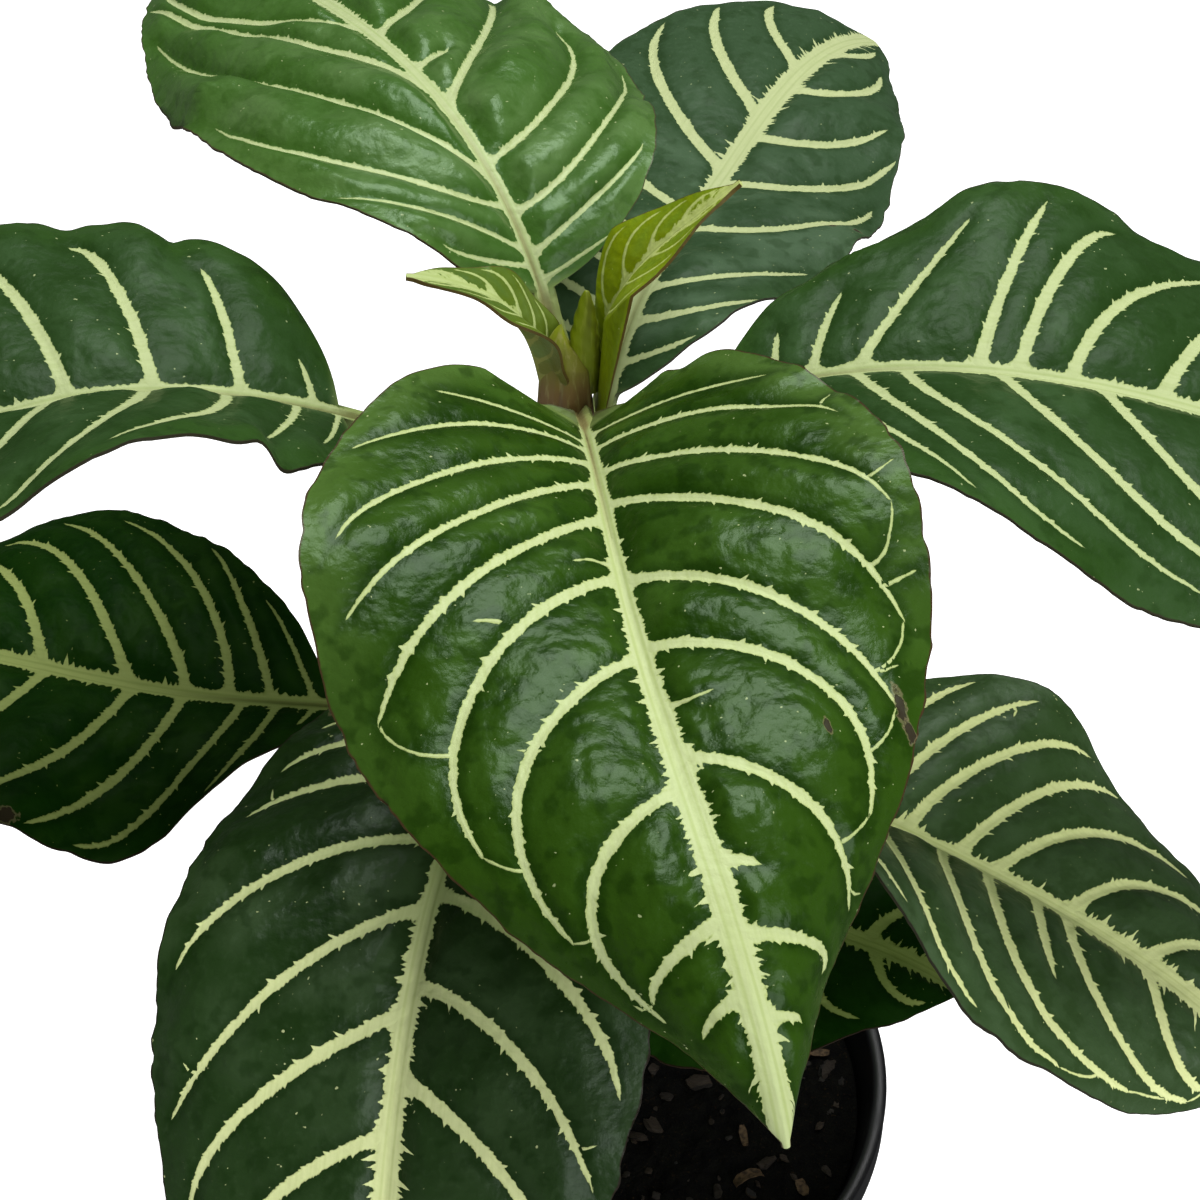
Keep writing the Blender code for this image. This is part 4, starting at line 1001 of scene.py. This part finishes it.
# a closed skin round rings of points that share a number of sides, from foot to top
def skinOfRings(firstPole, rings, lastPole):
    rings = np.asarray(rings)
    steps, sides, _ = rings.shape
    points = np.concatenate([[firstPole], rings.reshape(-1, 3), [lastPole]])
    pairs = [(side, (side + 1) % sides) for side in range(sides)]
    faces = [(0, 1 + b, 1 + a) for a, b in pairs]
    for low in range(1, 1 + (steps - 1) * sides, sides):
        high = low + sides
        faces += [(low + a, low + b, high + b, high + a) for a, b in pairs]
    top = 1 + (steps - 1) * sides
    faces += [(top + a, top + b, len(points) - 1) for a, b in pairs]
    return points, faces


def allRound(sides):
    return 2 * math.pi * np.arange(sides) / sides


def ringAt(radius, height, sides, middle=0.0):
    turn = allRound(sides)
    return np.stack([middle + radius * np.cos(turn), radius * np.sin(turn), height + 0 * turn], 1)


pot = dict(
    height=0.100, rim=0.065, foot=0.046, wall=1.4 * mm, floor=2.2 * mm, lipOut=1.6 * mm,
    lipHigh=9 * mm, lipRound=0.7 * mm, wallStep=0.25 * mm, sides=144, baseUp=0.9 * mm, middle=0.012,
    # in mm: out from the foot and up; then out from the outer or inner wall, up, and the height
    # at which that wall is read
    footCurve=((-2.6, 0.9), (-2.2, 0), (-1.1, 0), (-0.3, 0.5)),
    lowWall=((0, 1.6, 1.6), (0, 10, 10), (0.25, 10.6, 10.5), (0.25, 13, 13)),
    innerCurve=((-0.6, 3.6, 4), (-1.8, 2.6, 3), (-3.4, 2.2, 2.2)),
    # in mm: out from the rim, and up from the lip's lower edge or from the pot's top
    lipLow=((-0.5, 0), (-0.1, 0.3), (0, 0.9)), lipTop=((-0.1, -1.3), (0, -0.9)),
    holes=8, holeRadius=4.2 * mm, holeCircle=0.034, holeSides=32,
    plastic=rgb(10, 11, 14), dusty=rgb(34, 34, 36),
)


# the wall's outer and inner radius at a height
def potOutside(height):
    return pot["foot"] + (pot["rim"] - pot["lipOut"] - pot["foot"]) / pot["height"] * height


def potInside(height):
    top = pot["rim"] - pot["lipOut"] - pot["wall"]
    low = pot["foot"] - pot["wall"]
    return low + (top - low) * height / pot["height"]


# the pot's section as (radius, height): up the outside, over the lip and down the inside
def potSection():
    top, rim, step = pot["height"], pot["rim"], pot["wallStep"]
    lip = top - pot["lipHigh"]
    line = [(pot["foot"] + out * mm, up * mm) for out, up in pot["footCurve"]]
    line += [(potOutside(at * mm) + out * mm, up * mm) for out, up, at in pot["lowWall"]]
    line += [(potOutside(high) + step, high) for high in np.linspace(18 * mm, lip - 4 * mm, 12)]
    line += [(potOutside(lip) + step, lip - 0.4 * mm), (potOutside(lip) + 2 * step, lip)]
    line += [(rim + out * mm, lip + up * mm) for out, up in pot["lipLow"]]
    line += [(rim + out * mm, top + up * mm) for out, up in pot["lipTop"]]
    half, crown = 0.5 * (rim - potInside(top)), pot["lipRound"]
    line += [(rim - half + half * math.cos(turn), top - crown + crown * math.sin(turn))
             for turn in np.radians(np.linspace(0, 180, 9))[1:-1]]
    line += [(potInside(high), high) for high in np.linspace(top - 1.2 * mm, 6 * mm, 14)]
    line += [(potInside(at * mm) + out * mm, up * mm) for out, up, at in pot["innerCurve"]]
    return line + [(pot["middle"], pot["floor"])]


# round bars that cut the drain holes
def drainHoles():
    build = bmesh.new()
    for hole in range(pot["holes"]):
        turn = 2 * math.pi * (hole + 0.5) / pot["holes"]
        made = bmesh.ops.create_cone(
            build, cap_ends=True, segments=pot["holeSides"], radius1=pot["holeRadius"],
            radius2=pot["holeRadius"], depth=5 * pot["floor"])
        where = (pot["holeCircle"] * math.cos(turn), pot["holeCircle"] * math.sin(turn), 0.0)
        bmesh.ops.translate(build, verts=made["verts"], vec=where)
    mesh = bpy.data.meshes.new("holes")
    build.to_mesh(mesh)
    build.free()
    return linked("holes", mesh)


def makePot():
    rings = [ringAt(pot["middle"], pot["baseUp"], pot["sides"])]
    rings += [ringAt(radius, high, pot["sides"]) for radius, high in potSection()]
    points, faces = skinOfRings((0, 0, pot["baseUp"]), rings, (0, 0, pot["floor"]))
    paint = Finish("black_pot_plastic", Specular_IOR_Level=0.5)
    place = paint.place()
    clouds = paint.noise(place, 18 * mm, 4.0)
    scuffs = paint.noise(paint.stretched(place, (1, 1, 9)), 5 * mm, 4.0)
    dust = paint.ramp(clouds, 0.48, 0.75) * 0.35 + paint.ramp(scuffs, 0.62, 0.72) * 0.25
    colour = paint.mix(dust, pot["plastic"], pot["dusty"])
    fine = paint.noise(place, 0.5 * mm, 2.0)
    rough = 0.33 + clouds * 0.14 + dust * 0.3
    height = fine + scuffs * 0.6
    paint.wear(Base_Color=colour, Roughness=rough, Normal=paint.bump(height, 0.06 * mm, 0.5))
    piece = addPiece("nursery_pot", points, faces, [paint], None, smooth=40)
    cutter = drainHoles()
    cut = piece.modifiers.new("holes", "BOOLEAN")
    cut.object = cutter
    cut.solver = "EXACT"
    graph = bpy.context.evaluated_depsgraph_get()
    piece.data = bpy.data.meshes.new_from_object(piece.evaluated_get(graph))
    piece.modifiers.clear()
    bpy.data.objects.remove(cutter)
    piece.data.set_sharp_from_angle(angle=math.radians(40))
    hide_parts("pot")
    print("pot made")


soil = dict(
    top=0.090, low=6 * mm, bottom=2.6 * mm, side=3 * mm, wallGap=0.8 * mm, holeBottom=0.0517,
    rings=90, sides=210,
    # how high its crumbs stand and how big they are, in mm
    crumbs=((0.9, 9), (0.7, 3.4), (0.45, 1.5), (0.25, 0.8)), settled=0.4 * mm,
    # sizes in mm; every eighth chip is a long one
    chips=300, chipLong=(0.6, 1.6), chipWide=(0.4, 0.8), chipThick=(0.18, 0.4), longChip=8,
    flakes=34, flakesInView=10, flakeLong=(2.0, 4.6), flakeWide=(0.7, 1.4), flakeThick=0.22 * mm,
    flakeCurl=(0.5, 1.3), flakeGrid=(9, 25), flakeTurn=6.28,
    earth=rgb(9, 9, 6), damp=rgb(3, 3, 3), bark=rgb(42, 32, 20), barkDark=rgb(14, 12, 8),
    flake=rgb(84, 66, 44),
)


# how far the soil reaches at its top
def soilRadius():
    return potInside(soil["top"]) - gap - soil["wallGap"]


def makeSoil():
    radius, sides, top = soilRadius(), soil["sides"], soil["top"]
    hole = stem["footRadius"] + gap
    rings = [ringAt(potInside(2.5 * mm) - 4 * mm, soil["bottom"], sides),
             ringAt(potInside(soil["low"]) - gap, soil["low"], sides),
             ringAt(potInside(top - soil["side"]) - gap, top - soil["side"], sides)]
    for step in range(soil["rings"] + 1):
        inward = step / soil["rings"]
        ring = ringAt(radius + (hole - radius) * inward, top, sides, stemMiddle * inward)
        x, y = ring[:, 0] / mm, ring[:, 1] / mm
        rough, medium, small, fine = (
            high * hills(x / size, y / size, 70 + count)
            for count, (high, size) in enumerate(soil["crumbs"]))
        calm = min(1, (1 - inward) * 14 + 0.15) * min(1, inward * 20 + 0.3)
        ring[:, 2] += (rough + medium + small + np.abs(fine)) * mm * calm - soil["settled"]
        rings.append(ring)
    rings.append(ringAt(hole, soil["holeBottom"], sides, stemMiddle))
    foot, end = (0, 0, soil["bottom"]), (stemMiddle, 0, soil["holeBottom"])
    points, faces = skinOfRings(foot, rings, end)
    earth = Finish("potting_soil", Specular_IOR_Level=0.1)
    place = earth.place()
    lumps = earth.noise(place, 3 * mm, 5.0)
    grit = earth.noise(place, 0.7 * mm, 4.0)
    colour = earth.mix(earth.ramp(lumps, 0.35, 0.65), soil["damp"], soil["earth"])
    colour = earth.mix(earth.ramp(grit, 0.6, 0.72) * 0.6, colour, soil["bark"])
    height = earth.bump(lumps + grit, 0.9 * mm, 0.9)
    earth.wear(Base_Color=colour, Roughness=0.75 + grit * 0.3, Normal=height)
    addPiece("potting_mix", points, faces, [earth], "soil", smooth=180)
    dice = np.random.default_rng(31)
    scatterBark(dice)
    scatterFlakes(dice)
    print("soil made")


# bark: flattened, angular chips, half sunk in the soil
def scatterBark(dice):
    build = bmesh.new()
    bmesh.ops.create_icosphere(build, subdivisions=2, radius=1.0)
    ball = np.array([vert.co[:] for vert in build.verts])
    ballFaces = np.array([[vert.index for vert in face.verts] for face in build.faces])
    build.free()
    allPoints, allFaces = [], []
    while len(allPoints) < soil["chips"]:
        count = len(allPoints)
        turn, out = dice.uniform(0, 2 * math.pi), math.sqrt(dice.uniform(0.02, 0.9)) * soilRadius()
        long = dice.uniform(*soil["chipLong"]) * (2.0 if count % soil["longChip"] == 0 else 1)
        wide, thick = long * dice.uniform(*soil["chipWide"]), long * dice.uniform(*soil["chipThick"])
        size = np.array([long, wide, thick]) * mm
        if out < 10 * mm or out > soilRadius() - 1.3 * size[0]:
            continue
        shape = np.sign(ball) * np.abs(ball) ** 0.8
        shape = shape * (1 + 0.3 * dice.uniform(-1, 1, (len(ball), 1))) * size
        tilt = dice.uniform(-0.4, 0.4, 2)
        shape = turned(shape, tilt[0], tilt[1], dice.uniform(0, 2 * math.pi))
        where = (out * math.cos(turn), out * math.sin(turn), soil["top"] + 0.2 * mm)
        allPoints.append(shape + where)
        allFaces.append(ballFaces + count * len(ball))
    bark = Finish("bark_bits", Specular_IOR_Level=0.35)
    place = bark.place()
    each = bark.node("ShaderNodeNewGeometry", output="Random Per Island")
    layers = bark.noise(bark.stretched(place, (1, 3, 6)), 1.2 * mm, 4.0)
    colour = bark.mix(each, soil["barkDark"], soil["bark"])
    colour = bark.mix(bark.ramp(layers, 0.5, 0.7) * 0.5, colour, soil["damp"])
    height = bark.bump(layers, 0.4 * mm, 0.8)
    bark.wear(Base_Color=colour, Roughness=0.6 + layers * 0.3, Normal=height)
    points, faces = np.concatenate(allPoints), np.concatenate(allFaces)
    addPiece("bark_bits", points, faces, [bark], None, smooth=35)


# curled pale flakes that lie on top, the first of them where the photo shows the soil
def scatterFlakes(dice):
    allPoints, allFaces = [], []
    rows, columns = soil["flakeGrid"]
    across, along = np.meshgrid(
        np.linspace(-1, 1, rows), np.linspace(-1, 1, columns), indexing="ij")
    for number in range(soil["flakes"]):
        turn, out = dice.uniform(-2.2, 0.4), dice.uniform(0.035, 0.054)
        if number >= soil["flakesInView"]:
            turn = dice.uniform(0, soil["flakeTurn"])
        curl = dice.uniform(*soil["flakeCurl"])
        wide, long = dice.uniform(*soil["flakeWide"]) * mm, dice.uniform(*soil["flakeLong"]) * mm
        x = long * np.sin(along * curl) / curl
        z = long * (np.cos(curl * along) - math.cos(curl)) / curl * dice.choice((-0.4, 0.6))
        y = wide * across * (1 - 0.35 * along**2 + 0.1 * hills(along * 4, along * 0 + number, 77))
        top = np.stack([x, y, z + 0.1 * wide * across**2], -1).reshape(-1, 3)
        shell = np.concatenate([top, top - (0, 0, soil["flakeThick"])])
        tiltX, tiltY = dice.uniform(-0.25, 0.25), dice.uniform(-0.2, 0.2)
        shell = turned(shell, tiltX, tiltY, dice.uniform(0, soil["flakeTurn"]))
        high = soil["top"] + 0.9 * mm - shell[:, 2].min()
        allPoints.append(shell + (out * math.cos(turn), out * math.sin(turn), high))
        allFaces.append(slabFaces(rows, columns) + number * len(shell))
    flake = Finish("curled_flakes", Specular_IOR_Level=0.3)
    streak = flake.noise(flake.place(), 0.8 * mm, 4.0)
    colour = flake.mix(flake.ramp(streak, 0.35, 0.7), soil["flake"], soil["bark"])
    height = flake.bump(streak, 0.2 * mm, 0.7)
    flake.wear(Base_Color=colour, Roughness=0.6 + streak * 0.3, Normal=height)
    points, faces = np.concatenate(allPoints), np.concatenate(allFaces)
    addPiece("curled_flakes", points, faces, [flake], None)


# points tipped about x, then about y, then turned about z
def turned(points, tiltX, tiltY, spin):
    x, y, z = points.T
    y, z = y * math.cos(tiltX) - z * math.sin(tiltX), y * math.sin(tiltX) + z * math.cos(tiltX)
    x, z = x * math.cos(tiltY) + z * math.sin(tiltY), z * math.cos(tiltY) - x * math.sin(tiltY)
    x, y = x * math.cos(spin) - y * math.sin(spin), x * math.sin(spin) + y * math.cos(spin)
    return np.stack([x, y, z], 1)


def makeStem():
    sides, middle = stem["sides"], stemMiddle
    turn = allRound(sides)
    low, high = stem["inSoil"], stem["top"] - 0.8 * mm
    heights = np.concatenate([np.linspace(stem["foot"], low - 2 * mm, 8), np.linspace(low, high, 190)])
    rings = []
    for height in heights:
        scars = sum(math.exp(-(((height - joint - stem["scarUp"]) / stem["scarHigh"]) ** 2))
                    for joint in stem["joints"])
        ridges = 0.02 * hills(turn * 3.0, height / 0.012 + 0 * turn, 81) + 0.012 * np.cos(4 * turn)
        ring = ringAt(stemRadius(height), height, sides)
        ring[:, :2] *= (1 + ridges - stem["scarDeep"] * min(scars, 1))[:, None]
        ring[:, 0] += middle
        rings.append(ring)
    rings.append(ringAt(0.6 * stem["topRadius"], stem["top"], sides, middle))
    points, faces = skinOfRings((middle, 0, stem["foot"]), rings, (middle, 0, stem["top"]))
    paint = Finish("green_brown_stem", Specular_IOR_Level=0.4)
    place = paint.place()
    high = paint.part(place, "Z")
    streak = paint.noise(paint.stretched(place, (1, 1, 0.15)), 1.1 * mm, 4.0)
    spots = paint.cells(place, 1.6 * mm)
    colour = paint.mix(paint.ramp(high, 0.20, 0.285), stem["old"], stem["young"])
    colour = paint.mix(paint.ramp(high, 0.262, 0.280) * 0.75, colour, stem["neckColour"])
    colour = paint.mix(paint.ramp(streak, 0.4, 0.7) * 0.6, colour, stem["crack"])
    colour = paint.mix(paint.ramp(spots, 0.16, 0.08) * 0.5, colour, stem["spot"])
    height = paint.bump(streak, 0.25 * mm, 0.7)
    paint.wear(Base_Color=colour, Roughness=0.5 + streak * 0.2, Normal=height)
    addPiece("woody_stem", points, faces, [paint], "stem")
    print("stem made")


# the closed foot of the young pair, round the top of the stem
sheath = dict(
    foot=0.2888, high=0.0142, slant=0.16, middle=(-0.0041, -0.0013), lean=(0.0004, 0.0010),
    halfWide=4.6 * mm, halfDeep=2.8 * mm, narrowing=0.24, rings=60, sides=72,
    fold=0.16, foldAt=4.45, foldWide=0.10,  # one leaf's edge laps over the other here
    oliveFrom=(0.2925, 0.3005), freshFrom=(0.2995, 0.3045),
    brown=rgb(122, 96, 58), olive=rgb(112, 114, 32), fresh=rgb(136, 146, 30), seam=rgb(158, 150, 96),
)


def makeSheath():
    turn = allRound(sheath["sides"])
    (middleX, middleY), (leanX, leanY) = sheath["middle"], sheath["lean"]
    rings = []
    for share in np.linspace(0, 0.99, sheath["rings"]):
        narrow = (1 - sheath["narrowing"] * share) * min(1, (1 - share) * 2.6) ** 0.5
        fromFold = (turn - sheath["foldAt"] - 0.25 * share) / sheath["foldWide"]
        folds = 1 - sheath["fold"] * np.exp(-(fromFold**2)) + 0.03 * np.cos(5 * turn + 3 * share)
        x = middleX + leanX * share + sheath["halfWide"] * narrow * folds * np.cos(turn)
        y = middleY + leanY * share + sheath["halfDeep"] * narrow * folds * np.sin(turn)
        z = sheath["foot"] + sheath["high"] * share * (1 - sheath["slant"] * np.cos(turn))
        rings.append(np.stack([x, y, z], 1))
    points, faces = skinOfRings(rings[0].mean(0), rings, rings[-1].mean(0))
    paint = Finish("young_leaf_sheath", Specular_IOR_Level=0.35)
    place = paint.place()
    high = paint.part(place, "Z")
    streak = paint.noise(paint.stretched(place, (1, 1, 0.15)), 0.8 * mm, 3.0)
    olive = paint.ramp(high + streak * 0.003, *sheath["oliveFrom"])
    colour = paint.mix(olive, sheath["brown"], sheath["olive"])
    colour = paint.mix(paint.ramp(high, *sheath["freshFrom"]), colour, sheath["fresh"])
    colour = paint.mix(paint.ramp(streak, 0.5, 0.7) * 0.5, colour, sheath["seam"])
    height = paint.bump(streak, 0.25 * mm, 0.7)
    paint.wear(Base_Color=colour, Roughness=0.45 + streak * 0.15, Normal=height)
    addPiece("young_sheath", points, faces, [paint], None)
    print("sheath made")


bud = dict(
    foot=0.2908, high=0.0210, halfWide=3.2 * mm, halfDeep=1.5 * mm, aside=(-0.8 * mm, 0.6 * mm),
    seam=0.22, twist=0.05, rings=64, sides=48,
    green=rgb(124, 140, 8), streak=rgb(146, 158, 46), foldColour=rgb(96, 104, 12),
)


def makeBud():
    turn = allRound(bud["sides"])
    rings = []
    for share in np.linspace(0, 0.985, bud["rings"]):
        full = math.sqrt(1 - share) * (0.78 + 0.95 * share * (1 - share) + 0.2 * share)
        fromSeam = np.exp(-((np.cos(turn) / 0.22) ** 2))
        seam = 1 - bud["seam"] * fromSeam * rise(np.array(share), 0.1, 0.5)
        wave = 1 + bud["twist"] * np.sin(share * 40 + 3 * turn)
        x = bud["halfWide"] * full * np.cos(turn) * wave * seam
        y = bud["halfDeep"] * full * np.sin(turn) * wave
        z = bud["foot"] + bud["high"] * share + 0 * turn
        rings.append(np.stack([x + bud["aside"][1] * share + bud["aside"][0], y, z], 1))
    points, faces = skinOfRings(rings[0].mean(0), rings, rings[-1].mean(0) + (0, 0, 0.2 * mm))
    paint = Finish("young_green_bud", Specular_IOR_Level=0.4)
    long = paint.stretched(paint.place(), (1, 1, 0.12))
    streak = paint.noise(long, 0.7 * mm, 3.0)
    broad = paint.noise(long, 2.4 * mm, 1.0)
    colour = paint.mix(paint.ramp(broad, 0.4, 0.62), bud["foldColour"], bud["green"])
    colour = paint.mix(paint.ramp(streak, 0.52, 0.68) * 0.6, colour, bud["streak"])
    height = paint.bump(streak, 0.2 * mm, 0.6)
    paint.wear(Base_Color=colour, Roughness=0.4 + streak * 0.15, Normal=height)
    addPiece("closed_bud", points, faces, [paint], "bud")
    print("bud made")


stage = dict(
    lens=75, sensor=36, eye=(0.002, -0.325, 0.556), tilt=46, roomLight=0.08,
    # each light: name, where, how it is turned in degrees, size, power
    lights=(("overhead_softbox", (0.10, 0.30, 1.30), (-15, 5, 0), 0.7, 15),
            ("front_softbox", (0.6, -0.9, 0.8), (56, 0, 33), 0.8, 9)),
    floorReach=3.0, floorGlow=0.75, floorRough=0.9, floorCloud=0.3,
    floorDark=rgb(240, 240, 240), floorPale=rgb(250, 250, 250), white=(1, 1, 1, 1),
)


def makeStage():
    scene = bpy.context.scene
    camera = bpy.data.cameras.new("camera")
    camera.lens = stage["lens"]
    camera.sensor_width = stage["sensor"]
    eye = linked("camera", camera)
    eye.location = stage["eye"]
    eye.rotation_euler = (math.radians(stage["tilt"]), 0, 0)
    scene.camera = eye

    world = bpy.data.worlds.new("pale_room")
    world.use_nodes = True
    room = world.node_tree.nodes["Background"].inputs
    room["Color"].default_value = stage["white"]
    room["Strength"].default_value = stage["roomLight"]
    scene.world = world
    scene.view_settings.view_transform = "Standard"

    for name, where, turn, size, power in stage["lights"]:
        light = bpy.data.lights.new(name, "AREA")
        light.size = size
        light.energy = power
        lamp = linked(name, light)
        lamp.location = where
        lamp.rotation_euler = [math.radians(value) for value in turn]

    ground = Finish("pale_floor", Roughness=stage["floorRough"],
                    Emission_Strength=stage["floorGlow"], Emission_Color=stage["white"])
    cloud = ground.noise(ground.place(), stage["floorCloud"])
    ground.wear(Base_Color=ground.mix(cloud, stage["floorDark"], stage["floorPale"]))
    far = stage["floorReach"]
    corners = [(-far, -far, -gap), (far, -far, -gap), (far, far, -gap), (-far, far, -gap)]
    mesh = bpy.data.meshes.new("floor")
    mesh.from_pydata(corners, [], [(0, 1, 2, 3)])
    mesh.materials.append(ground.material)
    floor = linked("floor", mesh)
    floor.visible_glossy = False  # the shiny leaves mirror the dim room, not the bright floor
    print("stage made")


makeStage()
makePot()
makeSoil()
makeStem()
makeSheath()
makeBud()
makeLeaves()
